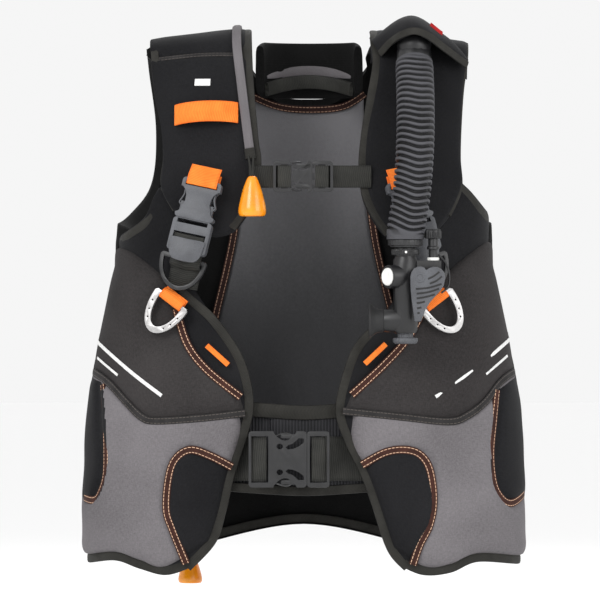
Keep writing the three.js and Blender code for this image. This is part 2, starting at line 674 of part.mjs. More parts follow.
const PULL_TOGGLE = { radius: 16, tall: 45 };
const PULL_AT = [-out(23.2), up(74.6)];
const pullDepth = skin(-out(24), up(74.6), YOKE[1]) - PULL_TOGGLE.radius - 3;
const pullToggle = piece(
  "shoulder_dump_toggle",
  toggle(PULL_TOGGLE.radius, PULL_TOGGLE.tall),
  orangePlastic,
);
pullToggle.position.set(PULL_AT[0], pullDepth, PULL_AT[1]);
vest.add(pullToggle);
const sleeveEnd = [-out(24.3), skin(-out(24.3), up(79.2), YOKE[1] + 2.5), up(79.4) - 1];
vest.add(
  piece(
    "shoulder_dump_cord",
    rod([PULL_AT[0], pullDepth, PULL_AT[1] + 1], sleeveEnd, CORD, CORD, 8),
    blackWeb,
  ),
);

const LOWER_VALVE_AT = [52.6, 9.6];
const LOW_TOGGLE = { radius: 14, tall: 33 };
const LOW_TOGGLE_TOP = 2.4;
const lowerValve = seat(-out(LOWER_VALVE_AT[0]), up(LOWER_VALVE_AT[1]), BACK[1] + 3, 0, 1);
lowerValve.add(piece("lower_dump_valve", valve(), blackPlastic));
vest.add(lowerValve);
const lowToggle = piece(
  "lower_dump_toggle",
  toggle(LOW_TOGGLE.radius, LOW_TOGGLE.tall),
  orangePlastic,
);
const lowX = -out(LOWER_VALVE_AT[0]);
const lowY = skin(lowX, up(LOWER_VALVE_AT[1]), BACK[1] + 3 + VALVE_TALL / 2, 1);
lowToggle.position.set(lowX, lowY, up(LOW_TOGGLE_TOP));
vest.add(lowToggle);
const valveFoot = up(LOWER_VALVE_AT[1]) - VALVE_RADIUS - GAP;
vest.add(
  piece(
    "lower_dump_cord",
    rod([lowX, lowY, up(LOW_TOGGLE_TOP) + GAP], [lowX, lowY, valveFoot], CORD, CORD, 8),
    blackWeb,
  ),
);

// ---------------------------------------------------------------- backplate and tank band
const TANK_RADIUS = 92;
const BAND_W = 45;
const PLATE_HALF = 62;
const BAND_SLOT_X = 48;
const BAND_SLOT = 7;
const SEAT_FACE = PLATE[1] + BACK_DEPTH + 5; // y of the flat seats that the tank rests on
const SEAT_W = { upper: 62, lower: 31 };
const GRIP_W = 75;

const plateShape = roundedRect(-PLATE_HALF, PLATE_HALF, up(25), up(79), 22);
let plate = panel(plateShape, PLATE, 20, FAR);
for (const side of [-1, 1]) {
  const x = side * BAND_SLOT_X;
  const z = up(BAND_W);
  const tall = TANK_WEB / 2 + 3;
  plate = plate.subtract(
    box(x - BAND_SLOT / 2, x + BAND_SLOT / 2, 50, FAR, z - tall, z + tall),
  );
}
plate = plate.subtract(prism(roundedRect(-42, 42, up(GRIP_W) - 13, up(GRIP_W) + 13, 12), 50, FAR));
vest.add(piece("backplate", plate, blackPlastic));
for (const [name, w] of Object.entries(SEAT_W)) {
  const face = prism(roundedRect(-38, 38, up(w) - 20, up(w) + 20, 6), 80, SEAT_FACE);
  vest.add(piece(`tank_seat_${name}`, face.subtract(torso(PLATE[1] + GAP, 0.1)), rubber));
}

// The band passes behind the backplate, out through its slots and round the tank.
const tankY = SEAT_FACE + TANK_RADIUS;
const bandRadius = TANK_RADIUS + 0.8 + WEB_THICK / 2;
const bandInner = skin(0, up(BAND_W) + TANK_WEB / 2, BACK[1] + PLATE_AIR / 2, 1);
function bandLine(grow) {
  const line = new THREE.Shape();
  const start = 0.86; // radians from the front of the tank to where the band leaves it
  const radius = bandRadius + grow;
  line.moveTo(BAND_SLOT_X + grow * 0.6, bandInner - grow);
  line.lineTo(BAND_SLOT_X + grow * 0.8, SEAT_FACE - 2);
  line.absarc(0, tankY, radius, -Math.PI / 2 + start, (3 * Math.PI) / 2 - start);
  line.lineTo(-BAND_SLOT_X - grow * 0.8, SEAT_FACE - 2);
  line.lineTo(-BAND_SLOT_X - grow * 0.6, bandInner - grow);
  return line;
}
function bandSolid(line) {
  const options = { depth: TANK_WEB, bevelEnabled: false, curveSegments: 32 };
  return new THREE.ExtrudeGeometry(line, options).translate(0, 0, up(BAND_W) - TANK_WEB / 2);
}
const bandHole = solid(bandSolid(bandLine(-WEB_THICK / 2)));
const bandOuter = solid(bandSolid(bandLine(WEB_THICK / 2)));
vest.add(piece("tank_band", bandOuter.subtract(bandHole), blackWeb));

// Cam buckle, on the band behind the tank. Its frame lies on the band and its lever folds down.
const CAM = { long: 62, tall: 60, cheek: 3, high: 15, pin: 2.5, lever: 54 };
const CAM_TURN = 40;
const cam = new THREE.Group();
cam.position.set(0, tankY, up(BAND_W));
cam.rotateZ(THREE.MathUtils.degToRad(CAM_TURN));
const camBase = bandRadius + WEB_THICK / 2 + GAP;
let camFrame = box(-CAM.long / 2, CAM.long / 2, camBase, camBase + 2.5, -CAM.tall / 2,
  CAM.tall / 2);
for (const side of [-1, 1]) {
  const z = side * (CAM.tall / 2 - CAM.cheek / 2);
  camFrame = camFrame.add(
    box(-CAM.long / 2, -CAM.long / 2 + 26, camBase, camBase + CAM.high, z - CAM.cheek / 2,
      z + CAM.cheek / 2),
  );
}
const pinX = -CAM.long / 2 + 12;
const pinY = camBase + 9;
camFrame = camFrame.add(
  rod([pinX, pinY, -CAM.tall / 2 + 1], [pinX, pinY, CAM.tall / 2 - 1], CAM.pin),
);
cam.add(piece("cam_buckle_frame", camFrame, steel));
const leverHalf = CAM.tall / 2 - CAM.cheek - 0.6;
let camLever = rod([0, 0, -leverHalf], [0, 0, leverHalf], 5.6);
camLever = camLever.add(box(0, CAM.lever, 1.2, 5.2, -leverHalf, leverHalf));
camLever = camLever.subtract(
  rod([0, 0, -leverHalf - 1], [0, 0, leverHalf + 1], CAM.pin + 0.3),
);
const lever = piece("cam_buckle_lever", camLever, blackPlastic);
lever.position.set(pinX, pinY, 0);
cam.add(lever);
vest.add(cam);

// ---------------------------------------------------------------- inflator hose
const HOSE_RADIUS = 21;
const HOSE_BORE = 16;
const ELBOW_RADIUS = 19.5;
// A place in front of the left shoulder panel: x percent, mm off the panel, and z in mm.
function offPanel([x, reach, z]) {
  return new THREE.Vector3(out(x), skin(out(x), z, YOKE[1]) - reach, z);
}
const ELBOW = offPanel([49.6, 33.4, -4]);
const HOSE_ROUTE = [[49.6, 24, -24], [50, 35.5, -70], [49.6, 46.2, -122], [48, 49.7, -172],
  [45.2, 50.2, -217]];
const hosePath = new THREE.CatmullRomCurve3(HOSE_ROUTE.map(offPanel));
const hoseSection = new THREE.Shape().absarc(0, 0, HOSE_RADIUS, 0, 2 * Math.PI, false);
vest.add(
  piece(
    "inflator_hose",
    solid(new THREE.ExtrudeGeometry(hoseSection, {
      extrudePath: hosePath, steps: 12, curveSegments: 6, bevelEnabled: false,
    })),
    rubber,
  ),
);

const ELBOW_FOOT_Z = -6;
const elbowFoot = [ELBOW.x, skin(ELBOW.x, ELBOW_FOOT_Z, YOKE[1]) + 1, ELBOW_FOOT_Z];
let elbow = solid(
  new THREE.SphereGeometry(ELBOW_RADIUS, 14, 10).translate(ELBOW.x, ELBOW.y, ELBOW.z),
);
const hoseTop = hosePath.getPoint(0);
const hoseStart = hosePath.getTangent(0);
const elbowEnd = hoseTop.clone().addScaledVector(hoseStart, -GAP);
const cuffTop = elbowEnd.clone().addScaledVector(hoseStart, -14);
elbow = elbow.add(rod(cuffTop.toArray(), elbowEnd.toArray(), ELBOW_RADIUS, HOSE_RADIUS - 1));
elbow = elbow.add(rod(ELBOW.toArray(), elbowFoot, 12, 14));
elbow = elbow.subtract(
  rod(ELBOW.toArray(), elbowEnd.clone().addScaledVector(hoseStart, 2).toArray(), HOSE_BORE),
);
elbow = elbow.subtract(torso(YOKE[1] + GAP, 0.1));
vest.add(piece("hose_elbow", elbow, blackPlastic));

// The padded cover over the elbow is a dome, cut back in front to let the hose out.
const COVER = { inX: 2, back: 37, down: 6, wide: 60, deep: 66, high: 41, thick: 4 };
function coverDome(shrink) {
  const ball = new THREE.SphereGeometry(1, 20, 14);
  ball.scale(COVER.wide - shrink, COVER.deep - shrink, COVER.high - shrink);
  return solid(ball.translate(ELBOW.x - COVER.inX, ELBOW.y + COVER.back, ELBOW.z - COVER.down));
}
const COVER_ARCH = [[28, 95.5], [35.4, 97.6], [43, 100], [49.7, 101.2], [56.4, 100.2],
  [65.4, 97.2], [73, 94.8]];
const coverFront = outline(1, COVER_ARCH, [[78, 96], [78, 108], [22, 108], [22, 96]]);
const COVER_CUT = 48; // how far behind the elbow the front's arch cuts in
const cutY = ELBOW.y + COVER_CUT;
const coverKeep = prism(coverFront, -FAR, cutY).add(box(0, FAR, cutY - 1, FAR, -40, 60));
const cover = coverDome(0)
  .subtract(coverDome(COVER.thick))
  .subtract(torso(YOKE[1] + GAP, 0.1))
  .intersect(coverKeep);
vest.add(piece("hose_cover", cover, blackCloth));

// ---------------------------------------------------------------- inflator
// Its frame is at the foot of the hose, Z up along the body. The mouthpiece points to -X.
const inflator = new THREE.Group();
const hoseFoot = hosePath.getPoint(1);
inflator.position.set(hoseFoot.x, hoseFoot.y, hoseFoot.z - 6);
const lathe = (profile, sides = 18) =>
  solid(
    new THREE.LatheGeometry(profile.map(([r, z]) => new THREE.Vector2(r, z)), sides).rotateX(
      Math.PI / 2,
    ),
  );
inflator.add(
  piece(
    "hose_clamp",
    lathe([[0, -9], [17, -9], [17, -7], [19.5, -7], [19.5, 0], [16, 0], [16, 1.5], [0, 1.5]]),
    darkPlastic,
  ),
);
const BODY_RADIUS = 14;
const BODY_LONG = 105;
const MOUTH_Z = -91;
const BUTTON_Z = -42;
const BUTTON_TURN = THREE.MathUtils.degToRad(215); // outward direction in the XY plane
const STUB_REACH = 24;
const buttonOut = new THREE.Vector3(Math.cos(BUTTON_TURN), Math.sin(BUTTON_TURN), 0);
const BUTTON_RADIUS = 10;
const BUTTON_BORE = BUTTON_RADIUS + 0.4;
let body = lathe([[0, -BODY_LONG], [12, -BODY_LONG], [BODY_RADIUS, -BODY_LONG + 4],
  [BODY_RADIUS, -24], [12, -20], [12, -18], [15, -18], [15, -11], [12, -11], [12, -9 - GAP],
  [0, -9 - GAP]]);
const along = (reach) => [buttonOut.x * reach, buttonOut.y * reach, BUTTON_Z];
body = body.add(rod(along(0), along(STUB_REACH), BUTTON_RADIUS + 3));
body = body.add(rod([0, 0, MOUTH_Z], [-24, 0, MOUTH_Z], 13.5, 12.5));
body = body.add(box(0, 40, -5, 5, -38, -24));
body = body.subtract(rod(along(STUB_REACH - 12), along(STUB_REACH + 2), BUTTON_BORE));
body = body.subtract(rod([-14, 0, MOUTH_Z], [-26, 0, MOUTH_Z], 8));
const DEFLATE_RADIUS = 11;
body = body.subtract(
  rod([0, 0, -BODY_LONG + 9], [0, 0, -BODY_LONG - 1], DEFLATE_RADIUS + 0.4 - 2),
);
inflator.add(piece("inflator_body", body, blackPlastic));

const mouthProfile = [[8.5, 0], [12.8, 0], [13.6, 6], [16, 11], [19, 14.5], [19, 16], [9, 16]];
const mouth = lathe([...mouthProfile, mouthProfile[0]]);
const mouthpiece = piece("mouthpiece", mouth, rubber);
mouthpiece.position.set(-24 - GAP, 0, MOUTH_Z);
mouthpiece.rotation.y = -Math.PI / 2;
inflator.add(mouthpiece);

const inflateButton = piece(
  "inflate_button",
  lathe([[0, -7], [BUTTON_RADIUS - 2.5, -7], [BUTTON_RADIUS, -5.5], [BUTTON_RADIUS, 3],
    [0, 3]]),
  whitePlastic,
);
// Local -Z is out of the stub, and the button's skirt runs inside its bore.
inflateButton.position.set(buttonOut.x * (STUB_REACH - 3.5), buttonOut.y * (STUB_REACH - 3.5),
  BUTTON_Z);
inflateButton.quaternion.setFromUnitVectors(new THREE.Vector3(0, 0, -1), buttonOut);
inflator.add(inflateButton);

const deflateButton = piece(
  "deflate_button",
  lathe([[0, -12], [11, -12], [14, -9], [14, -5], [8.6, -5], [8.6, 2.2], [0, 2.2]]),
  greyPlastic,
);
deflateButton.position.set(0, 0, -BODY_LONG);
inflator.add(deflateButton);

// The side plate carries the low pressure inlet.
const plateOutline = new THREE.Shape();
plateOutline.moveTo(5, -42);
plateOutline.bezierCurveTo(6, -29, 20, -27, 23, -35);
plateOutline.bezierCurveTo(27, -28, 45, -29, 44, -44);
plateOutline.bezierCurveTo(43, -63, 26, -60, 17, -92);
plateOutline.lineTo(10, -92);
plateOutline.bezierCurveTo(7, -72, 5, -60, 5, -42);
inflator.add(
  piece("inflator_side_plate", prism(plateOutline, -BODY_RADIUS - 9, -BODY_RADIUS - 1, 6),
    greyPlastic),
);
const coupler = piece(
  "quick_coupler",
  lathe([[0, -9], [6, -9], [6, -6], [5, -6], [5, 3], [7, 3], [7, 6], [5.6, 7], [5.6, 15],
    [9, 16], [9, 24], [7.5, 26], [0, 26]], 20),
  blackPlastic,
);
coupler.position.set(31, 0, -24 + 9 + GAP);
inflator.add(coupler);
vest.add(inflator);

export default vest;
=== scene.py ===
# A jacket-style buoyancy vest for diving, in the shape it has when worn. Metres, Z up. The wearer
# faces -Y, and +X is the wearer's left. Places on the cloth are in percent: x of the half width
# from the middle, w of the height above the hem.
import bpy
import json
import math
import numpy as np
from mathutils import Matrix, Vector, noise

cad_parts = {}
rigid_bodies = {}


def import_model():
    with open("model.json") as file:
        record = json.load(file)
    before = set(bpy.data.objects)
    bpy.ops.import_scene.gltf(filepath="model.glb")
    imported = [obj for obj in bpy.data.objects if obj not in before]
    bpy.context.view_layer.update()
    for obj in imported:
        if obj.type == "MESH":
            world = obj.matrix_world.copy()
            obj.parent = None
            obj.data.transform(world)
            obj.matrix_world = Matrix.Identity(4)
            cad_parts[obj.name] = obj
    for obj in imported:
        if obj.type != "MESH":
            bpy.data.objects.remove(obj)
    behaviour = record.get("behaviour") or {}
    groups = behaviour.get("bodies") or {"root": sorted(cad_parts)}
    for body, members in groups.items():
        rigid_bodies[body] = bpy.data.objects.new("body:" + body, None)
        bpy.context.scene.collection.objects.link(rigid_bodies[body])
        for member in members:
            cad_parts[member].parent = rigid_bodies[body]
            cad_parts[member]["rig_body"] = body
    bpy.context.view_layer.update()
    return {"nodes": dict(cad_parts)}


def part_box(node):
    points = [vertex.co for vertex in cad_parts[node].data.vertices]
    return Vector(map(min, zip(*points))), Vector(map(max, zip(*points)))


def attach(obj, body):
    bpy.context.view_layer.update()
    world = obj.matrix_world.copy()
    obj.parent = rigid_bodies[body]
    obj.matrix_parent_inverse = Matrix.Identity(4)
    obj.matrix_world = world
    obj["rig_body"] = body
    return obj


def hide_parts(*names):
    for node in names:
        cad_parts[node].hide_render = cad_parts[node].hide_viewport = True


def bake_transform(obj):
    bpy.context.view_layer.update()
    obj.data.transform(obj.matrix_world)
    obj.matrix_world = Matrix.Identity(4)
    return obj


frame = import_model()

# ---------------------------------------------------------------- camera, light and floor
# A long lens looks level at the chest. Two large soft boxes and a pale surround light the vest,
# which hangs over a pale floor as it would from a shop's stand.
VIEW_CENTRE = (-0.0045, -0.2909)
LENS_AWAY = 8.0
VIEW_WIDE = 0.672
SENSOR = 36
camera_data = bpy.data.cameras.new("camera")
camera_data.sensor_width = SENSOR
camera_data.lens = SENSOR * (LENS_AWAY - 0.14) / VIEW_WIDE
camera_data.clip_end = 60
camera = bpy.data.objects.new("camera", camera_data)
camera.location = (VIEW_CENTRE[0], -LENS_AWAY, VIEW_CENTRE[1])
camera.rotation_euler = (math.pi / 2, 0, 0)
bpy.context.collection.objects.link(camera)
bpy.context.scene.camera = camera
bpy.context.scene.view_settings.view_transform = "Standard"

for name, place, power, size in (
    ("key_light", (-1.5, -2.4, 1.3), 44, 1.3),
    ("fill_light", (1.9, -2.0, 0.5), 24, 1.5),
    ("rim_light", (0.3, 2.0, 1.6), 24, 1.5),
):
    lamp = bpy.data.lights.new(name, "AREA")
    lamp.energy, lamp.size = power, size
    holder = bpy.data.objects.new(name, lamp)
    holder.location = place
    aim = Vector((0, 0, -0.3)) - Vector(place)
    holder.rotation_euler = aim.to_track_quat("-Z", "Y").to_euler()
    bpy.context.collection.objects.link(holder)
surround = bpy.data.worlds.new("surround")
surround.use_nodes = True
surround.node_tree.nodes["Background"].inputs["Color"].default_value = (1, 1, 1, 1)
surround.node_tree.nodes["Background"].inputs["Strength"].default_value = 0.92
bpy.context.scene.world = surround

bpy.ops.object.select_all(action="DESELECT")
FLOOR_Z = -0.70
bpy.ops.mesh.primitive_plane_add(size=40, location=(0, 0, FLOOR_Z))
floor = bpy.context.object
floor.name = "floor"
pale = bpy.data.materials.new("pale_floor")
pale.use_nodes = True
paint = pale.node_tree.nodes["Principled BSDF"].inputs
paint["Base Color"].default_value = (0.9, 0.9, 0.9, 1)
paint["Roughness"].default_value = 0.9
paint["Specular IOR Level"].default_value = 0.1
paint["Emission Color"].default_value = (1, 1, 1, 1)
paint["Emission Strength"].default_value = 0.1
floor.data.materials.append(pale)


# ---------------------------------------------------------------- air cell, front lobes
# Two lobes of coated nylon hold the air on each side of the chest. Each is cut as one panel that
# wraps from the opening round to the side seam, and its edges are bound in black tape.
HEIGHT, HALF_WIDTH = 0.6, 0.25
FRONT_DEPTH, BACK_DEPTH = 0.118, 0.104
SIDE_INSET, TAPER, TAPER_TOP = 0.014, 0.036, 0.6
SHOULDER_DROP = 0.03
PLAN_POWER, DOME_POWER = 3, 3.5
FRONT, BEHIND = -1, 1


def half_at(t):
    return HALF_WIDTH - SIDE_INSET - TAPER * (np.clip(t, 0, TAPER_TOP) / TAPER_TOP) ** 3


def on_body(turn, lift, offset, side=FRONT):
    """Points on the torso grown by offset: turn goes round it and lift goes up over the shoulder."""
    turn, lift, offset = np.broadcast_arrays(turn, lift, offset)
    over = lift > math.pi / 2
    face = np.where(over, -side, side)
    lift = np.where(over, math.pi - lift, lift)
    c, s = np.cos(turn), np.sin(turn)
    face = np.where(s < 0, -face, face)
    reach = (abs(c) ** PLAN_POWER + abs(s) ** PLAN_POWER) ** (1 / PLAN_POWER)
    rise, level = np.sin(lift), np.clip(np.cos(lift), 0, 1)
    size = (abs(rise) ** DOME_POWER + level**DOME_POWER) ** (1 / DOME_POWER)
    t, dome = rise / size, level / size
    x = (half_at(t) + offset) * c / reach
    z = t * (HEIGHT + offset) - HEIGHT - SHOULDER_DROP * (x / HALF_WIDTH) ** 2
    depth = np.where(face < 0, FRONT_DEPTH, BACK_DEPTH) + offset
    return np.stack([x, face * depth * dome * abs(s) / reach, z], -1)


def body_place(x, w, offset=0.01):
    """(turn, lift) of a place given in percent. w over 100 goes on down the other side."""
    x, w = np.asarray(x, float) / 100 * HALF_WIDTH, np.asarray(w, float)
    past = np.clip(w - 100, 0, None) / 100
    z = (np.minimum(w, 100) / 100 - 1) * HEIGHT
    for _ in range(2):
        t = np.clip((z + HEIGHT + SHOULDER_DROP * (x / HALF_WIDTH) ** 2) / (HEIGHT + offset), -0.2,
                    1)
        half = half_at(t) + offset
    round_side = np.clip(np.abs(x) - half, 0, None)
    x = np.clip(x, -half, half)
    a = np.abs(x) / half
    turn = np.arctan2((1 - a**PLAN_POWER) ** (1 / PLAN_POWER), a) - round_side / FRONT_DEPTH
    turn = np.where(x < 0, math.pi - turn, turn)
    lift = np.arctan2(t, (1 - np.clip(t, 0, 1) ** DOME_POWER) ** (1 / DOME_POWER))
    return turn, lift + past * HEIGHT / 0.1


def smooth_line(points, steps=12):
    """A smooth curve through points, as one array."""
    p = np.array([points[0], *points, points[-1]], float)
    if len(points) == 2:
        return np.linspace(points[0], points[1], steps * 2)
    out = []
    for k in range(1, len(p) - 2):
        for s in np.linspace(0, 1, steps, endpoint=False):
            a, b, c, d = p[k - 1 : k + 3]
            out.append(0.5 * (2 * b + (c - a) * s + (2 * a - 5 * b + 4 * c - d) * s**2
                              + (3 * b - a - 3 * c + d) * s**3))
    return np.array([*out, p[-1]])


def distance(line):
    """How far along line each of its points is."""
    return np.r_[0, np.cumsum(np.linalg.norm(np.diff(line, axis=0), axis=1))]


def unit(vectors):
    return vectors / np.linalg.norm(vectors, axis=-1, keepdims=True)


def evenly(values, line, count):
    """values given at the points of line, taken at count + 1 even steps along it."""
    length = distance(line)
    at = np.linspace(0, length[-1], count + 1)
    return np.stack([np.interp(at, length, values[:, k]) for k in range(values.shape[1])], -1)


def edge_on_body(points, offset, side, count):
    line = smooth_line(points)
    turn, lift = body_place(line[:, 0], line[:, 1], offset)
    return evenly(np.stack([turn, lift], -1), on_body(turn, lift, offset, side), count)


def in_edit(*steps):
    """Runs edit mode operators on all of the active piece."""
    bpy.ops.object.mode_set(mode="EDIT")
    bpy.ops.mesh.select_all(action="SELECT")
    for step in steps:
        step()
    bpy.ops.object.mode_set(mode="OBJECT")


def face_outward():
    in_edit(lambda: bpy.ops.mesh.normals_make_consistent(inside=False))


def close_seams():
    """Joins the vertices that meet along a tube's seam and at its ends."""
    in_edit(lambda: bpy.ops.mesh.remove_doubles(threshold=1e-6),
            lambda: bpy.ops.mesh.normals_make_consistent(inside=False))


def pick(piece):
    bpy.ops.object.select_all(action="DESELECT")
    piece.select_set(True)
    bpy.context.view_layer.objects.active = piece


def apply_all(piece):
    bpy.context.view_layer.objects.active = piece
    for modifier in list(piece.modifiers):
        bpy.ops.object.modifier_apply(modifier=modifier.name)


def grid_piece(name, points, chart, finishes):
    """A primitive grid with its vertices moved to points[i, j], mapped by chart[i, j]."""
    bpy.ops.object.select_all(action="DESELECT")
    across, along = points.shape[0] - 1, points.shape[1] - 1
    bpy.ops.mesh.primitive_grid_add(x_subdivisions=across, y_subdivisions=along, size=1)
    piece = bpy.context.object
    piece.name = name
    mesh = piece.data
    at = np.zeros(len(mesh.vertices) * 3)
    mesh.vertices.foreach_get("co", at)
    at = at.reshape(-1, 3)
    i = np.rint((at[:, 0] + 0.5) * across).astype(int)
    j = np.rint((at[:, 1] + 0.5) * along).astype(int)
    mesh.vertices.foreach_set("co", points[i, j].astype(np.float32).ravel())
    corner = np.zeros(len(mesh.loops), int)
    mesh.loops.foreach_get("vertex_index", corner)
    mesh.uv_layers[0].data.foreach_set("uv", chart[i, j][corner].astype(np.float32).ravel())
    for finish in finishes:
        mesh.materials.append(finish)
    mesh.update()
    return piece


def smooth(piece, angle=40):
    pick(piece)
    bpy.ops.object.shade_smooth_by_angle(angle=math.radians(angle))
    return piece


def soft_noise(points, scale, seed=0.0):
    scale = np.broadcast_to(scale, (3,))
    flat = points.reshape(-1, 3) * scale + seed
    values = [noise.noise(Vector(p)) + 0.5 * noise.noise(Vector(p) * 2.1) for p in flat]
    return np.array(values).reshape(points.shape[:-1])


def lengths(points, axis):
    step = np.linalg.norm(np.diff(points, axis=axis), axis=-1)
    pad = [(0, 0), (0, 0)]
    pad[axis] = (1, 0)
    return np.cumsum(np.pad(step, pad), axis=axis)


SEAM_HALF = 0.0042


def cloth_panel(name, low, top, left, right, cells, offset, rise, finishes, side=FRONT, border=0.02,
                thick=0.004, seams=(), fold=0.0015, fold_scale=(14, 14, 9), zones=(), seed=0.0,
                seam_wide=0.011, valley=0.3):
    """A sewn panel between four edges. It stands out from the body by offset, and swells by rise
    away from its edges and seams. A negative rise swells towards the wearer."""
    n, m = cells
    e = [edge_on_body(p, offset, side, k) for p, k in ((low, n), (top, n), (left, m), (right, m))]
    u, v = np.linspace(0, 1, n + 1)[:, None, None], np.linspace(0, 1, m + 1)[None, :, None]
    spot = ((1 - v) * e[0][:, None] + v * e[1][:, None] + (1 - u) * e[2][None] + u * e[3][None]
            - (1 - u) * (1 - v) * e[0][0] - u * (1 - v) * e[0][-1]
            - (1 - u) * v * e[1][0] - u * v * e[1][-1])
    flat = on_body(spot[..., 0], spot[..., 1], offset, side)
    over, along = lengths(flat, 0), lengths(flat, 1)
    inset = np.minimum.reduce([over, over[-1:] - over, along, along[:, -1:] - along])
    share = np.clip(inset / border, 0, 1)
    swell = np.sqrt(1 - (1 - share) ** 2)
    for seam in seams:
        line = smooth_line(seam)
        turn, lift = body_place(line[:, 0], line[:, 1], offset)
        track = on_body(turn, lift, offset, side)
        away = np.min([np.linalg.norm(flat - p, axis=-1) for p in track], axis=0)
        near = np.clip((away - SEAM_HALF) / seam_wide, 0, 1)
        swell = swell * (valley + (1 - valley) * np.sqrt(1 - (1 - near) ** 2))
    folds = soft_noise(flat, fold_scale, seed) * fold * share
    points = on_body(spot[..., 0], spot[..., 1], offset + rise * swell + folds, side)
    piece = grid_piece(name, points, np.stack([over, along], -1), finishes)
    outward = on_body(spot[..., 0], spot[..., 1], offset + 0.001, side) - flat
    facing = np.cross(points[1, :] - points[0, :], np.gradient(points[0, :], axis=0))
    if np.sum(facing * outward[0]) * (1 if rise >= 0 else -1) < 0:
        in_edit(bpy.ops.mesh.flip_normals)
    if zones:
        for face in piece.data.polygons:
            co = sum((piece.data.vertices[k].co for k in face.vertices), Vector()) / 4
            x, w = co.x / HALF_WIDTH * 100, (co.z / HEIGHT + 1) * 100
            for index, zone in enumerate(zones, 1):
                if inside(x, w, zone):
                    face.material_index = index
    shell = piece.modifiers.new("shell", "SOLIDIFY")
    shell.thickness, shell.offset = thick, -1
    apply_all(piece)
    inner = (points - (thick if rise >= 0 else -thick) * unit(outward)).transpose(1, 0, 2)
    outer_count = (n + 1) * (m + 1)
    for vertex, place in zip(piece.data.vertices[outer_count:], inner.reshape(-1, 3)):
        vertex.co = place
    piece.data.update()
    return smooth(piece, 60)


def inside(x, w, zone):
    hits = 0
    for (x0, w0), (x1, w1) in zip(zone, [*zone[1:], zone[0]]):
        if (w0 > w) != (w1 > w) and x < x0 + (w - w0) / (w1 - w0) * (x1 - x0):
            hits += 1
    return hits % 2 == 1


class Value:
    """A socket in a material. Sums and products of values add the Math nodes for them."""

    def __init__(self, tree, socket):
        self.tree, self.socket = tree, socket

    def node(self, kind, settings, values, output=0):
        made = self.tree.nodes.new("ShaderNode" + kind)
        for name, setting in settings.items():
            if name == "stops":
                stops = made.color_ramp.elements
                while len(stops) < len(setting):
                    stops.new(1)
                for stop, (position, colour) in zip(stops, setting):
                    stop.position, stop.color = position, colour
            else:
                setattr(made, name, setting)
        for name, value in values.items():
            if isinstance(value, Value):
                self.tree.links.new(value.socket, made.inputs[name])
            else:
                made.inputs[name].default_value = value
        return Value(self.tree, made.outputs[output])

    def math(self, operation, *values):
        return self.node("Math", {"operation": operation}, dict(enumerate(values)))

    def __add__(self, other):
        return self.math("ADD", self, other)

    def __mul__(self, other):
        return self.math("MULTIPLY", self, other)

    def __sub__(self, other):
        return self.math("SUBTRACT", self, other)

    def __rsub__(self, other):
        return self.math("SUBTRACT", other, self)

    def __truediv__(self, other):
        return self.math("DIVIDE", self, other)

    def __lt__(self, other):
        return self.math("LESS_THAN", self, other)

    def __gt__(self, other):
        return self.math("GREATER_THAN", self, other)

    def __abs__(self):
        return self.math("ABSOLUTE", self)

    __radd__, __rmul__ = __add__, __mul__

    def wave(self, pitch):
        """0 to 1 and back over each pitch."""
        return self.math("SINE", self * (2 * math.pi / pitch)) * 0.5 + 0.5

    def grain(self, scale, detail=3.0, stretch=(1, 1, 1)):
        at = self.node("Mapping", {}, {"Vector": self, "Scale": stretch})
        return self.node("TexNoise", {}, {"Vector": at, "Scale": scale, "Detail": detail})

    def part(self, index):
        return self.node("SeparateXYZ", {}, {0: self}, index)

    def blend(self, a, b):
        """Colour a where this is 0, b where it is 1."""
        return self.node("Mix", {"data_type": "RGBA"}, {0: self, 6: a, 7: b}, 2)

    def ramp(self, *stops):
        return self.node("ValToRGB", {"stops": [(p, (*c, 1)) for p, c in stops]}, {0: self})


def shade(red, green, blue):
    """A colour as it is on a screen, 0 to 255, as the light that it reflects."""
    return tuple(((c / 255 + 0.055) / 1.055) ** 2.4 if c > 10 else c / 3295 for c in (red, green,
                                                                                      blue))


def material(name, build, **fixed):
    """build(place, chart) gives what varies: socket values, with height and depth for the relief."""
    made = bpy.data.materials.new(name)
    made.use_nodes = True
    tree = made.node_tree
    shader = tree.nodes["Principled BSDF"]
    coords = tree.nodes.new("ShaderNodeTexCoord")
    place, chart = Value(tree, coords.outputs["Object"]), Value(tree, coords.outputs["UV"])
    parts = build(place, chart)
    depth = parts.pop("depth", 0.0003)
    if "height" in parts:
        relief = {"Height": parts.pop("height"), "Distance": depth, "Strength": 1.0}
        parts["Normal"] = place.node("Bump", {}, relief)
    for key, value in {**{k.replace("_", " "): f for k, f in fixed.items()}, **parts}.items():
        if isinstance(value, Value):
            tree.links.new(value.socket, shader.inputs[key])
        else:
            shader.inputs[key].default_value = value
    return made


def woven(dark, light, thread=0.0012, relief=0.00025, rough=0.85):
    """Coated nylon: a fine plain weave with slubs, faded a little where it is rubbed."""
    def build(place, chart):
        x, y = chart.part(0), chart.part(1)
        weave = x.wave(thread) * y.wave(thread * 0.9)
        slub = chart.grain(900, 2, (1, 0.25, 1)) * 0.5 + chart.grain(900, 2, (0.25, 1, 1)) * 0.5
        fade = place.grain(9, 4)
        tone = weave * 0.25 + slub * 0.9 + (fade - 0.5) * 0.7 - 0.12
        crease = place.grain(38, 5, (1, 1, 0.6))
        return {
            "Base Color": tone.ramp((0.15, dark), (0.85, light)),
            "Roughness": rough - 0.12 * fade + 0.08 * slub,
            "height": weave * 0.35 + slub * 0.35 + crease * 1.3,
            "depth": relief,
        }
    return build


black_cloth = material("black_nylon", woven(shade(15, 15, 17), shade(38, 38, 40)),
                       Specular_IOR_Level=0.12, Sheen_Weight=0.02)


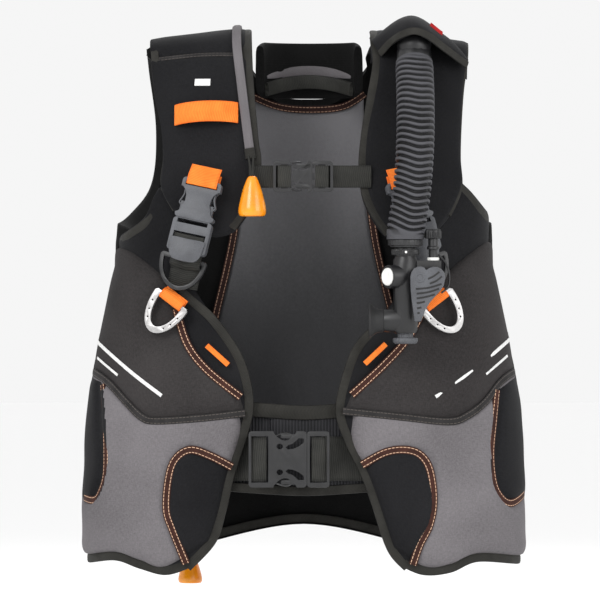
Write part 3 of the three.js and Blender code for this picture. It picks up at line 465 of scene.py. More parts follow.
def settle(piece, body="vest", replaced=()):
    """The piece moves with its body and stands for the CAD nodes named."""
    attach(piece, body)
    if replaced:
        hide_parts(*replaced)
    return piece


LOBE_EDGES = {
    "right": {
        "opening": [(51, 1.5), (40, 6.5), (35.6, 12), (32, 18.5), (26.2, 26), (23.4, 31),
                    (24.4, 36), (29, 41.5), (40, 48), (55, 54.5), (50, 62)],
        "hem": [(51, 1.5), (62, 0), (73.5, 1.1), (86, 2.6), (104, 1.2)],
        "armhole": [(50, 62), (58, 71), (63, 73), (70, 67.5), (82, 63.8), (87.5, 61), (104, 59.6)],
    },
    "left": {
        "opening": [(45, 1.5), (37.6, 5.2), (30.5, 14), (25.5, 19.5), (19, 25), (14.8, 30.5),
                    (17.3, 36.6), (23.5, 43), (37, 48.7), (48, 54.5), (50, 62)],
        "hem": [(45, 1.5), (54, 0), (65.5, 0.4), (79, 2.4), (104, 1.2)],
        "armhole": [(50, 62), (57, 72), (64, 75), (72, 73), (80, 69.3), (87, 66), (92, 62.5),
                    (104, 61.4)],
    },
}
SIDES = {"right": -1, "left": 1}


def mirrored(points, side):
    return [(side * x, w) for x, w in points]


for name, side in SIDES.items():
    edge = LOBE_EDGES[name]
    lobe = cloth_panel(
        f"lobe_{name}_cloth", mirrored(edge["hem"], side), mirrored(edge["armhole"], side),
        mirrored(edge["opening"], side),
        [(side * 104, edge["hem"][-1][1]), (side * 104, edge["armhole"][-1][1])],
        (56, 84), 0.004, 0.006, [black_cloth], thick=0.004, fold=0.002, border=0.014, seed=side)
    settle(lobe, "vest", [f"lobe_{name}"])


def ribbon_piece(name, points, normals, width, thick, finish, caps=0.5):
    """A flat band along points, its face towards normals, one or many, with soft edges and closed
    ends."""
    section = np.array([(-0.5, 0), (-0.46, 0.7), (-0.25, 1), (0, 1.03), (0.25, 1), (0.46, 0.7),
                        (0.5, 0), (0.46, -0.5), (0, -0.5), (-0.46, -0.5), (-0.5, 0)])
    along = unit(np.gradient(points, axis=0))
    across = unit(np.cross(along, np.broadcast_to(normals, points.shape)))
    faces = np.cross(across, along)
    points = np.concatenate([points[:1], points, points[-1:]])
    across = np.concatenate([across[:1], across, across[-1:]])
    faces = np.concatenate([faces[:1], faces, faces[-1:]])
    size = np.ones(len(points))
    size[0] = size[-1] = 0.0
    wide = np.broadcast_to(width, (len(points),)) * np.where(size > 0, 1, caps)
    body = (points[None] + section[:, 0][:, None, None] * (wide[:, None] * across)[None]
            + section[:, 1][:, None, None] * (thick * size[:, None] * faces)[None])
    chart = np.stack([np.broadcast_to(distance(points), body.shape[:2]),
                      np.broadcast_to(section[:, 0][:, None], body.shape[:2])], -1)
    piece = grid_piece(name, body, chart, [finish])
    close_seams()
    return smooth(piece, 50)


def body_tape(name, places, width, offset, finish, side=FRONT, thick=0.0012, step=0.004, out=1):
    """A tape sewn on the body's cloth through places."""
    line = smooth_line(places)
    turn, lift = body_place(line[:, 0], line[:, 1], offset)
    track = on_body(turn, lift, offset, side)
    count = max(4, int(np.sum(np.linalg.norm(np.diff(track, axis=0), axis=1)) / step))
    spot = evenly(np.stack([turn, lift], -1), track, count)
    base = on_body(spot[:, 0], spot[:, 1], offset, side)
    small = 0.004
    round_it = on_body(spot[:, 0] + small, spot[:, 1], offset, side) - base
    up_it = on_body(spot[:, 0], spot[:, 1] + small, offset, side) - base
    normals = np.cross(round_it, up_it)
    grown = on_body(spot[:, 0], spot[:, 1], offset + 0.001, side) - base
    normals *= np.sign(np.sum(normals * grown, axis=1))[:, None] * out
    return ribbon_piece(name, base, unit(normals), width, thick, finish)


def grosgrain(dark, light, rib=0.0016):
    """Ribbed binding tape and webbing: ribs across, edges rolled a little darker."""
    def build(place, chart):
        x, y = chart.part(0), chart.part(1)
        ribs = (x + abs(y) * 0.004).wave(rib)
        worn = place.grain(60, 4)
        edge = abs(y) > 0.44
        tone = ribs * 0.35 + worn * 0.6 - edge * 0.15
        return {
            "Base Color": tone.ramp((0.1, dark), (0.9, light)),
            "Roughness": 0.75 - 0.15 * worn,
            "height": ribs + worn * 0.5,
            "depth": 0.0002,
        }
    return build


def stitched(dark, light, thread, row=0.3, pitch=0.0042, ply=0.045):
    """Tape with a row of lock stitch along each edge: raised dashes of bright thread."""
    def build(place, chart):
        x, y = chart.part(0), chart.part(1)
        line = abs(abs(y) - row) < ply
        dash = (x / pitch).math("FRACT", x / pitch) < 0.72
        mask = line * dash
        worn = place.grain(80, 3)
        ground = (worn * 0.8 + x.wave(0.0015) * 0.2).ramp((0.2, dark), (0.8, light))
        return {
            "Base Color": mask.blend(ground, (*thread, 1)),
            "Roughness": 0.8 - 0.2 * mask,
            "height": mask * 1.5 + worn * 0.5,
            "depth": 0.0004,
        }
    return build


binding = material("black_binding", grosgrain(shade(24, 23, 22), shade(58, 57, 53)),
                   Specular_IOR_Level=0.15)
seam_brown = material("seam_tape", stitched(shade(34, 18, 14), shade(70, 40, 32),
                                            shade(206, 168, 140)), Specular_IOR_Level=0.2)
seam_plain = material("seam_tape_dark", stitched(shade(26, 25, 25), shade(52, 50, 50),
                                                 shade(84, 78, 74)), Specular_IOR_Level=0.2)


def tape(label, places, width, offset, finish, **more):
    piece = body_tape(label, places, width, offset, finish, **more)
    settle(piece)
    return piece


LOBE_TAPE_AT = 0.0085
for name, side in SIDES.items():
    edge = LOBE_EDGES[name]
    inset = [(x + 1.4, w) for x, w in edge["opening"]]
    tape(f"lobe_{name}_opening_binding", mirrored(inset, side), 0.0105, LOBE_TAPE_AT, binding,
         thick=0.0022)
    tape(f"lobe_{name}_hem_binding", mirrored([(x, w + 0.9) for x, w in edge["hem"]], side), 0.011,
         LOBE_TAPE_AT, binding, thick=0.0022)
    tape(f"lobe_{name}_armhole_binding",
         mirrored([(x - 0.3, w - 0.9) for x, w in edge["armhole"][2:]], side), 0.0105, LOBE_TAPE_AT,
         binding, thick=0.002)


# ---------------------------------------------------------------- pockets
# Each lobe carries a pocket in two cloths. The upper panel is dark and flat, and its lower edge is
# topstitched over a grey panel that has black scuff patches let in at the corner and the side.
dark_cloth = material("dark_grey_nylon", woven(shade(34, 32, 32), shade(66, 63, 63), 0.0011),
                      Specular_IOR_Level=0.15)
grey_cloth = material("grey_nylon", woven(shade(88, 85, 87), shade(128, 124, 127), 0.0011, 0.0003),
                      Specular_IOR_Level=0.2)
reflective = material(
    "reflective_tape",
    lambda place, chart: {
        "Base Color": place.grain(300, 2).ramp((0.2, shade(196, 196, 196)),
                                               (0.8, shade(236, 236, 234))),
        "Roughness": 0.35 + 0.2 * place.grain(40, 3),
        "height": chart.part(0).wave(0.001), "depth": 0.00005})
orange_web = material("orange_webbing", grosgrain(shade(222, 92, 20), shade(250, 146, 54), 0.0018),
                      Specular_IOR_Level=0.25)
FLAP_EDGE = {
    "right": [(26.5, 29.8), (45, 28.9), (66, 28.3), (73, 29), (80, 31.8), (90, 36), (103, 39)],
    "left": [(17.5, 30.2), (43, 29.1), (65, 28.2), (74, 29.4), (82, 32), (90, 36), (103, 39)],
}
POCKET_MOUTH = {
    "right": [(29, 34.6), (44, 39.6), (53, 44.5), (58, 51), (66, 57.2), (87, 62.2), (103, 61)],
    "left": [(22, 35), (36, 40.4), (47, 45.5), (55, 51.5), (66, 57.2), (88, 63.6), (103, 62.5)],
}
CORNER_SEAM = {
    "right": [(32.3, 20.3), (42.1, 22.4), (51.1, 23.5), (57.8, 21.7), (60.9, 17.9), (61.8, 12.3),
              (59.1, 8.6), (52.9, 2.2)],
    "left": [(26, 20.7), (36.3, 23), (45.2, 23.5), (52, 22.6), (56.4, 19.8), (58.2, 14.2),
             (56.4, 9.5), (52, 5.8), (48.8, 2)],
}
SIDE_SEAM = {
    "right": [(90.9, 35.6), (89.6, 29.1), (89.2, 19.8), (91.4, 15.7), (95, 13.8), (103, 14.7)],
    "left": [(87, 34.6), (85.6, 29.1), (84.2, 22.6), (85.6, 17), (89.2, 14.2), (93.6, 13.3),
             (99, 14.6), (104, 17)],
}
POCKET_AT, SEAM_AT, MARK_AT = 0.0095, 0.0152, 0.0155
for name, side in SIDES.items():
    flap, mouth = FLAP_EDGE[name], POCKET_MOUTH[name]
    upper = cloth_panel(
        f"pocket_upper_{name}_cloth", mirrored(flap, side), mirrored(mouth, side),
        mirrored([flap[0], mouth[0]], side), mirrored([flap[-1], mouth[-1]], side), (56, 36),
        POCKET_AT, 0.0055, [dark_cloth], border=0.016, fold=0.0016, fold_scale=(9, 9, 13),
        seed=2 * side,
        seams=[mirrored([(x, w + 1.4) for x, w in flap], side)], seam_wide=0.006, valley=0.8)
    settle(upper, "vest", [f"pocket_upper_{name}"])
    edge = LOBE_EDGES[name]
    opening = [(x + 2.6, w) for x, w in edge["opening"] if 4 < w < flap[0][1] - 1.5]
    low_hem = [(x, w + 1.6) for x, w in edge["hem"]]
    low_hem[0] = opening[0]
    top = [(x, w + 0.6) for x, w in flap]
    top[0] = (opening[-1][0] + 0.3, flap[0][1] + 0.6)
    corner, flank = CORNER_SEAM[name], SIDE_SEAM[name]
    zones = [mirrored([*smooth_line(corner), (corner[-1][0], -4), (0, -4), (0, 22)], side),
             mirrored([*smooth_line(flank), (125, 15), (125, 45)], side)]
    lower = cloth_panel(
        f"pocket_lower_{name}_cloth", mirrored(low_hem, side), mirrored(top, side),
        mirrored([*opening, top[0]], side), mirrored([low_hem[-1], top[-1]], side), (96, 80),
        POCKET_AT, 0.008, [grey_cloth, black_cloth, black_cloth], border=0.018, fold=0.0022,
        fold_scale=(8, 8, 16), seed=3 * side, zones=zones,
        seams=[mirrored(corner, side), mirrored(flank, side)], valley=0.55)
    settle(lower, "vest", [f"pocket_lower_{name}"])
    tape(f"pocket_{name}_flap_seam", mirrored([(x, w + 0.55) for x, w in flap], side), 0.0085,
         0.0150, seam_plain, thick=0.0014)
    tape(f"pocket_{name}_corner_seam", mirrored(corner, side), 0.0095, SEAM_AT, seam_brown,
         thick=0.0013)
    tape(f"pocket_{name}_side_seam", mirrored(flank, side), 0.0095, SEAM_AT, seam_brown,
         thick=0.0013)
    tape(f"pocket_{name}_mouth_seam", mirrored([(x - 0.6, w - 1.2) for x, w in mouth[:4]], side),
         0.0095,
         SEAM_AT, seam_brown, thick=0.0014)

PULL_TABS = {"right": [(-43.6, 43), (-34.0, 39.4)], "left": [(27.3, 39.6), (36.7, 43.3)]}
MARKS = {
    "right": [[(-96.4, 44.6), (-78.8, 38.3), (-64, 33.6)], [(-93.6, 40.6), (-84, 37.4)]],
    "left": [[(59.1, 33.4), (78, 39), (95.9, 45)], [(82, 37.6), (92, 41)]],
}
for name in SIDES:
    pull = tape(f"pocket_{name}_pull_tab", PULL_TABS[name], 0.0062, MARK_AT, orange_web,
                thick=0.0026, step=0.002)
    for k, mark in enumerate(MARKS[name]):
        tape(f"pocket_{name}_reflective_{k}", mark, 0.0042 - 0.0012 * k, MARK_AT, reflective,
             thick=0.0006)


# ---------------------------------------------------------------- back panel and pad
# The back is one panel up to the shoulders, cut out for the arms and the neck. A soft coated pad
# is sewn to its inside, under a black yoke.
def coated_lining(place, chart):
    """Smooth coated lining: painted sheen pales it up top, painted shade darkens it at the belt."""
    worn = place.grain(9, 3, (1, 1, 0.35)) * 0.45 + place.grain(320, 2) * 0.15
    # Painted sheen and shade: the colour runs from dark at the belt to pale at the top, with random
    # wear mixed in.
    sheen_and_wear = (place.part(2) + 0.42) * 2.1 + worn
    return {
        "Base Color": sheen_and_wear.ramp((0.12, shade(34, 34, 37)), (0.55, shade(70, 70, 72)),
                                  (0.95, shade(112, 111, 114))),
        "Roughness": 0.52 + 0.15 * worn,
        "height": place.grain(900, 2) + 3 * worn,
        "depth": 0.0004,
    }


pad_cloth = material("pad_lining", coated_lining, Specular_IOR_Level=0.35)
ARM_EDGE = [(101, 2.5), (101, 30), (101, 52), (99, 57.5), (95, 60.5), (88, 62.8), (79, 67),
            (70, 73), (68, 84), (71, 95),
            (72, 100)]
BACK_HEM = [(-101, 2.5), (-62, 3.5), (0, 8.6), (62, 3.5), (101, 2.5)]
NECKLINE = [(-72, 100), (-50, 100), (-27, 100), (-25, 96.5), (-13, 91), (2, 90), (16, 91),
            (29.5, 96.5), (31, 100), (50, 100), (72, 100)]
# A darker copy of the black nylon for the back panel and collar: its extra darkness is painted shade
# inside the vest.
black_cloth_painted_shade = material("black_cloth_painted_shade", woven(shade(9, 9, 9), shade(28, 28, 28), 0.0011),
                        Specular_IOR_Level=0.1)
# The back panel wears the darker black nylon, which is painted shade.
back = cloth_panel("back_cloth", BACK_HEM, NECKLINE, mirrored(ARM_EDGE, -1), ARM_EDGE, (96, 110),
                   0.004, 0.010, [black_cloth_painted_shade], side=BEHIND, thick=0.011, fold=0.002, border=0.02)
settle(back, "vest", ["back_panel"])
for label, out_side, offset in (("outer", 1, 0.0065), ("inner", -1, -0.0015)):
    tape(f"back_hem_binding_{label}", [(x, w + 0.9) for x, w in BACK_HEM], 0.011, offset, binding,
         side=BEHIND, thick=0.002, out=out_side)
PAD_SIDE = [(44, 29), (44.5, 38), (41.6, 47), (36, 57), (32.6, 64), (29.5, 73), (27.5, 82),
            (27, 90.5)]
pad = cloth_panel("back_pad_lining", [(-44, 29), (0, 27.5), (44, 29)],
                  [(-27, 90.5), (-12, 88.6), (3, 88), (18, 88.6), (27, 90.5)],
                  mirrored(PAD_SIDE, -1), PAD_SIDE, (56, 90), -0.001, -0.008, [pad_cloth],
                  side=BEHIND, border=0.03, fold=0.0028, fold_scale=(11, 11, 6), seed=5)
settle(pad, "vest", ["back_pad"])
seam_light = material("seam_tape_yoke", stitched(shade(26, 14, 12), shade(54, 32, 28),
                                                 shade(176, 140, 118)), Specular_IOR_Level=0.2)
tape("yoke_seam", [(-26, 91), (-12, 88.6), (3, 88), (18, 88.6), (28, 91)], 0.009, -0.0065,
     seam_light, side=BEHIND, out=-1)
for name, side in SIDES.items():
    tape(f"pad_seam_{name}", mirrored([(29.8, 72), (32.4, 64), (35.6, 57.4), (41.2, 47.4),
                                       (43.6, 40)], side),
         0.009, -0.0075, seam_light, side=BEHIND, out=-1)

# ---------------------------------------------------------------- collar and grab handle
# A padded collar stands behind the neck. A folded webbing handle runs across its inside, over a
# strip of grey lining.
COLLAR_AT, COLLAR_HALF, COLLAR_DEEP = 0.006, 0.0565, 0.0585
COLLAR_LOW, COLLAR_TOP = -0.060, 0.0036


def neck_arc(half, deep, start, z, count=40, rise=0.0):
    turn = np.linspace(start, math.pi - start, count)
    lifted = z + rise * np.sin(turn) ** 2
    return np.stack([COLLAR_AT + half * np.cos(turn), deep * np.sin(turn), lifted], -1)


arc = neck_arc(COLLAR_HALF, COLLAR_DEEP, 0.12, 0.0, 44)
along = np.gradient(arc, axis=0)
outward = unit(np.stack([along[:, 1], -along[:, 0], 0 * along[:, 0]], -1))
turns = np.linspace(0, 2 * math.pi, 33)
wall = np.sign(np.cos(turns)) * abs(np.cos(turns)) ** 0.5 * 0.0048
tall = np.sign(np.sin(turns)) * abs(np.sin(turns)) ** 0.5
end = np.ones(46)
end[0] = end[-1] = 0
arc, outward = arc[[0, *range(44), 43]], outward[[0, *range(44), 43]]
height = (COLLAR_TOP - COLLAR_LOW) / 2 - 0.006 * np.clip(abs(np.linspace(-1, 1, 46)) - 0.75, 0,
                                                         1) * 4
puff = 1 + 0.22 * np.sin(np.linspace(0, 9 * math.pi, 46)) * 0.4
middle = (COLLAR_TOP + COLLAR_LOW) / 2
points = arc[None] + wall[:, None, None] * (end * puff)[None, :, None] * outward[None]
points[..., 2] = middle + tall[:, None] * height * end
points += 0.0012 * soft_noise(points, 22, 4)[..., None] * outward[None] * end[None, :, None]
# The collar wears the darker black nylon, which is painted shade.
collar = grid_piece("collar_padded", points, np.stack(
    [np.broadcast_to(np.linspace(0, 0.2, 46), (33, 46)),
     np.broadcast_to(np.linspace(0, 0.16, 33)[:, None], (33, 46))], -1), [black_cloth_painted_shade])
close_seams()
settle(smooth(collar, 70), "vest", ["collar"])

black_web = material("black_webbing", grosgrain(shade(18, 18, 17), shade(56, 56, 52), 0.0021),
                     Specular_IOR_Level=0.25)


def neck_band(name, half, deep, start, z, width, thick, finish, rise=0.0):
    arc = neck_arc(half, deep, start, z, 48, rise)
    along = np.gradient(arc, axis=0)
    inward = np.stack([-along[:, 1], along[:, 0], 0 * along[:, 0]], -1)
    return ribbon_piece(name, arc, inward, width, thick, finish)


handle = neck_band("grab_handle", 0.0512, 0.0445, 0.3, -0.0515, 0.0160, 0.003, black_web, 0.0105)
settle(handle, "vest", ["carry_handle"])
crescent = 0.0125 * np.sin(np.linspace(0.12, math.pi - 0.12, 50)) ** 0.8
lining = neck_band("collar_lining", 0.0522, 0.0535, 0.38, -0.0375, crescent, 0.0012, grey_cloth,
                   0.0090)
settle(lining)

# ---------------------------------------------------------------- shoulder panels
# A padded panel lies over each shoulder, with a wide bound inner edge. It is sewn down to the lobe
# in front and to the back panel behind.
YOKE_EDGES = {
    "right": {
        "inner": [(40, 63.6), (31, 65), (22, 71), (19.8, 77), (21.2, 82), (23.3, 92), (24.2, 100),
                  (24.4, 104), (24.6, 108)],
        "outer": [(50, 64.4), (59, 68.5), (64.2, 73), (63.3, 78), (64, 84), (66.8, 90), (69, 98),
                  (69.4, 102), (69.5, 108)],
    },
    "left": {
        "inner": [(47, 62.6), (36.5, 64), (27.5, 70), (25.2, 76), (26, 81.5), (28.8, 89),
                  (31.6, 96),
                  (30.6, 101), (30.5, 108)],
        "outer": [(58, 63.6), (66, 67.5), (71, 72.5), (70.4, 78), (70.8, 84), (72, 91), (74, 97),
                  (74.4, 102), (74.5, 108)],
    },
}
YOKE_TAPE_AT = 0.0165
for name, side in SIDES.items():
    edge = YOKE_EDGES[name]
    inner, outer = edge["inner"], edge["outer"]
    yoke = cloth_panel(
        f"shoulder_panel_{name}_cloth", mirrored([inner[0], outer[0]], side),
        mirrored([inner[-1], outer[-1]], side), mirrored(inner, side), mirrored(outer, side),
        (30, 90), 0.0145, 0.0055, [black_cloth], thick=0.005, border=0.012, fold=0.0014,
        fold_scale=(16, 16, 10), seed=7 * side,
        seams=[mirrored([(22, 97.6), (70, 97)], side)] if side < 0 else [])
    settle(yoke, "vest", [f"shoulder_panel_{name}"])
    tape(f"shoulder_{name}_inner_binding", mirrored([(x + 1.6, w) for x, w in inner[1:]], side),
         0.0115,
         YOKE_TAPE_AT, binding, thick=0.0024)
    tape(f"shoulder_{name}_outer_binding", mirrored([(x - 1.5, w) for x, w in outer[1:]], side),
         0.0095,
         YOKE_TAPE_AT, binding, thick=0.0022)
tape("shoulder_right_cross_seam", [(-66, 96.8), (-46, 97.6), (-27, 97.6)], 0.006, YOKE_TAPE_AT,
     seam_plain)
tape("shoulder_right_badge", [(-49.2, 92.4), (-42.2, 92.4)], 0.0085, 0.0205, reflective,
             thick=0.0008, step=0.002)

# ---------------------------------------------------------------- waist belt
# Two halves of ribbed elastic close over each other under the lobes. Wide soft tape binds the top
# edge and narrow tape the bottom.
def elastic(dark, light):
    def build(place, chart):
        x, y = chart.part(0), chart.part(1)
        ribs = x.wave(0.0036)
        worn = place.grain(50, 3)
        return {
            "Base Color": (ribs * 0.55 + worn * 0.5).ramp((0.15, dark), (0.9, light)),
            "Roughness": 0.7 - 0.12 * worn,
            "height": ribs * 2 + y.wave(0.0012) * 0.4,
            "depth": 0.0003,
        }
    return build


belt_elastic = material("belt_elastic", elastic(shade(18, 18, 20), shade(50, 50, 53)),
                        Specular_IOR_Level=0.2)
for name, side in SIDES.items():
    offset = -0.0065 if name == "left" else -0.0103
    belt = cloth_panel(
        f"waist_belt_{name}_elastic", mirrored([(-15, 15.9), (0, 15.2), (15, 15.9), (60, 17),
                                                (100, 18)], side),
        mirrored([(-15, 31), (0, 30.4), (15, 31), (60, 32), (100, 33)], side),
        mirrored([(-15, 15.9), (-15, 31)], side), mirrored([(100, 18), (100, 33)], side), (80, 14),
        offset, 0.0015, [belt_elastic], thick=0.0025, border=0.006, fold=0.0006, seed=9 * side)
    settle(belt, "vest", [f"waist_belt_{name}"])
BELT_TAPE_AT = -0.0045
tape("waist_belt_top_tape", [(-46, 31.6), (-20, 30.9), (0, 30.4), (20, 30.9), (46, 31.6)], 0.0165,
     BELT_TAPE_AT,
     binding, thick=0.0022)
tape("waist_belt_low_tape", [(-46, 16.9), (-20, 16.1), (0, 15.7), (20, 16.1), (46, 16.9)], 0.0105,
     BELT_TAPE_AT,
     binding, thick=0.002)


# ---------------------------------------------------------------- waist and chest buckles
# Side release buckles of moulded acetal: the tongue's two arms snap into the socket. Each strap is
# threaded over its ladder bar. The edges of the moulding are softly rounded.
def moulded(dark, light, rough=0.42, speck=0.5):
    """Moulded plastic: fine grain from the mould, a few pale specks, and dull handling marks."""
    def build(place, chart):
        fine = place.grain(1400, 2)
        cloud = place.grain(55, 4)
        specks = (place.grain(2600, 1) > 0.66) * speck
        tone = cloud * 0.5 + fine * 0.3 + specks * 0.35
        return {
            "Base Color": tone.ramp((0.25, dark), (0.85, light)),
            "Roughness": rough + 0.22 * (cloud - 0.5) + 0.1 * fine,
            "height": fine * 0.5 + cloud * 1.2,
            "depth": 0.00012,
        }
    return build


buckle_plastic = material("buckle_plastic", moulded(shade(20, 20, 21), shade(50, 50, 52), 0.36,
                                                    0.3))
grey_plastic = material("grey_plastic", moulded(shade(58, 59, 63), shade(104, 106, 111), 0.45, 0.8))
black_plastic = material("black_plastic", moulded(shade(12, 12, 13), shade(34, 34, 36), 0.34, 0.2))


def prism(name, outline, place, along, across, deep):
    """A block through place: its outline is in mm on along and across, deep in metres."""
    outline = np.array(outline, float) / 1000
    along, across = np.array(along, float), np.array(across, float)
    normal = np.cross(across, along)
    flat = np.array(place) + outline[:, :1] * along + outline[:, 1:] * across
    n = len(flat)
    mesh = bpy.data.meshes.new(name)
    mesh.from_pydata([*map(tuple, flat - normal * deep / 2), *map(tuple, flat + normal * deep / 2)],
                     [],
                     [list(range(n))[::-1], list(range(n, 2 * n)),
                      *[[i, (i + 1) % n, n + (i + 1) % n, n + i] for i in range(n)]])
    piece = bpy.data.objects.new(name, mesh)
    bpy.context.collection.objects.link(piece)
    pick(piece)
    face_outward()
    return piece


def oval(x, z, wide, tall, tilt=0.0):
    turn = np.linspace(0, 2 * math.pi, 21)[:-1]
    a, b = wide * np.cos(turn), tall * np.sin(turn)
    return np.stack([x + a * math.cos(tilt) - b * math.sin(tilt),
                     z + a * math.sin(tilt) + b * math.cos(tilt)], -1)


def dressed(node, finish, bevel, chart=None, ride=True, fillet=30, cuts=()):
    """A copy of a CAD node with its edges rounded and a finish. chart is (along, across, width)
    for webbing, whose weave follows it."""
    source = frame["nodes"][node]
    piece = bpy.data.objects.new(f"{node}_part", source.data.copy())
    bpy.context.collection.objects.link(piece)
    pick(piece)
    in_edit(lambda: bpy.ops.mesh.remove_doubles(threshold=1e-5),
            lambda: bpy.ops.mesh.dissolve_limited(angle_limit=math.radians(1)))
    for outline, place, along, across in cuts:
        block = prism("cutter", outline, place, along, across, 0.04)
        piece.select_set(True)
        bpy.context.view_layer.objects.active = piece
        window = piece.modifiers.new("window", "BOOLEAN")
        window.object, window.operation, window.solver = block, "DIFFERENCE", "EXACT"
        apply_all(piece)
        bpy.data.objects.remove(block)
    edge = piece.modifiers.new("edge", "BEVEL")
    edge.width, edge.segments, edge.limit_method = bevel, 2, "ANGLE"
    edge.angle_limit = math.radians(fillet)
    apply_all(piece)
    piece.data.materials.clear()
    piece.data.materials.append(finish)
    if chart:
        along, across, width = Vector(chart[0]), Vector(chart[1]), chart[2]
        middle = sum((Vector(c) for c in piece.bound_box), Vector()) / 8
        layer = piece.data.uv_layers.new(name="UVMap")
        for loop in piece.data.loops:
            at = piece.data.vertices[loop.vertex_index].co
            layer.data[loop.index].uv = (at.dot(along), (at - middle).dot(across) / width)
    smooth(piece, 32)
    if ride:
        settle(piece, source["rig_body"], [node])
    else:
        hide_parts(node)
    return piece


X_AXIS, Z_AXIS = (1, 0, 0), (0, 0, 1)
NOTCH = np.array([(-39, 36), (-36.5, 29), (-33, 25), (-29, 22.2), (-25, 21), (-21, 21.6),
                  (-17.8, 24), (-15.5, 28),
                  (-13.6, 31.5), (-13, 36)])
WINDOW = np.array([(-23.6, 13.2), (-21, 15.8), (-16, 17.4), (-12.6, 20.2), (-9, 23.6), (-5, 24.4),
                   (-2.8, 22.4),
                   (-3.6, 18.4), (-8.6, 14.6), (-15, 11.8), (-21, 11)])
LATCH = np.array([(-35.5, 25.4), (-32, 27.2), (-28, 28.6), (-23.5, 29.2), (-19.5, 28.6),
                  (-18, 26.6)])
for node, centre, scale, bevel in (("waist", (0.003, -0.14363, -0.4692), (1, 1), 0.0007),
                                   ("chest", (0.0095, -0.13051, -0.1524), (0.68, 0.555), 0.0005)):
    cuts = []
    for z in (-1, 1):
        for outline in (NOTCH, WINDOW, oval(-30.2, 14.4, 3.6, 3.2)):
            cuts.append((outline * scale * (1, z), centre, X_AXIS, Z_AXIS))
        line = smooth_line(LATCH * scale * (1, z), 4)
        line = np.stack([centre[0] + line[:, 0] / 1000, 0 * line[:, 0] + centre[1],
                         centre[2] + line[:, 1] / 1000], -1)
        arm = ribbon_piece(f"{node}_buckle_latch_{'low' if z < 0 else 'high'}", line,
                           (0, -1.0, 0), 0.0026 * scale[0], 0.0036 * scale[0],
                           buckle_plastic)
        settle(arm, f"{node}_tongue")
    dressed(f"{node}_buckle_socket", buckle_plastic, bevel, cuts=cuts)
    dressed(f"{node}_buckle_tongue", buckle_plastic, bevel)
for node, width in (("waist_strap_right", 0.05), ("chest_strap_right", 0.025)):
    dressed(node, black_web, 0.0003, chart=(X_AXIS, Z_AXIS, width))
for node, width, tongue, near, far in (
    ("waist_strap_left", 0.05, "waist_tongue", 0.034, 0.125),
    ("chest_strap_left", 0.025, "chest_tongue", 0.036, 0.072),
):
    strap = dressed(node, black_web, 0.0003, chart=(X_AXIS, Z_AXIS, width), ride=False)
    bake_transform(strap)

# ---------------------------------------------------------------- shoulder buckles and rings
# Each shoulder panel ends in an orange stub with a buckle. The black strap below it is threaded
# round the bar of a dark ring and sewn to the lobe. A steel ring hangs from an orange tab.
SHOULDER_ALONG = {"right": (-0.2366, -0.1277, -0.9632), "left": (0.2366, -0.1277, -0.9632)}
SHOULDER_ACROSS = {"right": (0.9563, -0.2057, -0.2077), "left": (0.9563, 0.2057, 0.2077)}
TAB_ALONG = {"right": (0.5786, -0.1031, 0.8091), "left": (-0.5786, -0.1031, 0.8091)}
TAB_ACROSS = {"right": (0.7678, -0.266, -0.5829), "left": (0.7678, 0.266, 0.5829)}


def brushed(place, chart):
    streak = place.grain(220, 3, (1, 1, 8))
    scuff = place.grain(60, 4)
    return {
        "Base Color": (streak * 0.5 + scuff * 0.5).ramp((0.2, shade(150, 149, 149)),
                                                         (0.8, shade(206, 204, 203))),
        "Roughness": 0.3 + 0.25 * scuff,
        "height": streak, "depth": 0.00006,
    }


steel = material("brushed_steel", brushed, Metallic=1.0)
BUCKLE_NOTCH = np.array([(-36, 26), (-35, 20.5), (-31, 16.6), (-26, 14.6), (-19, 14.4), (-14.5, 16),
                         (-12, 19.5),
                         (-11, 26)])
BUCKLE_LATCH = np.array([(-31.5, 17.6), (-27, 17.4), (-22, 19), (-17.5, 20.8), (-15, 19.2)])
TAB_EDGE = [(23, 0), (23, -19), (30, -19.6), (39, -18.6), (45, -15.6), (48, -11), (48.8, 0),
            (48, 11), (45, 15.6),
            (39, 18.6), (30, 19.6), (23, 19), (23, 0)]
for name, side in SIDES.items():
    along, across = SHOULDER_ALONG[name], SHOULDER_ACROSS[name]
    centre = Vector((side * 0.1232, -0.1362, -0.2016))
    front = Vector((side * 0.1716, -0.9702, 0.1708))
    side_cuts = [(BUCKLE_NOTCH * (1, z), centre, along, across) for z in (-1, 1)]
    dressed(f"shoulder_buckle_socket_{name}", grey_plastic, 0.0007, cuts=side_cuts)
    dressed(f"shoulder_buckle_tongue_{name}", grey_plastic, 0.0007,
            cuts=[([(1.2, -17.6), (5.9, -17.6), (5.9, 17.6), (1.2, 17.6)], centre, along, across)])
    tab = prism(f"shoulder_buckle_tab_{name}", smooth_line(TAB_EDGE, 3)[:-1],
                centre + front * 0.0064, along, across, 0.0026)
    edge = tab.modifiers.new("edge", "BEVEL")
    edge.width, edge.segments, edge.limit_method = 0.0008, 2, "ANGLE"
    apply_all(tab)
    tab.data.materials.append(grey_plastic)
    settle(smooth(tab, 35), f"shoulder_tongue_{name}")
    for z in (-1, 1):
        line = smooth_line(BUCKLE_LATCH * (1, z), 4) / 1000
        line = np.array(centre) + line[:, :1] * np.array(along) + line[:, 1:] * np.array(across)
        arm = ribbon_piece(f"shoulder_buckle_latch_{name}_{'a' if z < 0 else 'b'}", line,
                           front, 0.0022, 0.003, grey_plastic)
        settle(arm, f"shoulder_tongue_{name}")
    dressed(f"shoulder_stub_{name}", orange_web, 0.0003, chart=(along, across, 0.035))
    strap = dressed(f"shoulder_strap_{name}", black_web, 0.0003, chart=(along, across, 0.035),
                    ride=False)
    low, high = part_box(f"shoulder_strap_{name}")
    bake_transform(strap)
    dressed(f"strap_ring_{name}", buckle_plastic, 0.0012)
    dressed(f"steel_ring_{name}", steel, 0.0009)
    dressed(f"steel_ring_tab_{name}", orange_web, 0.0003,
            chart=(TAB_ALONG[name], TAB_ACROSS[name], 0.03))

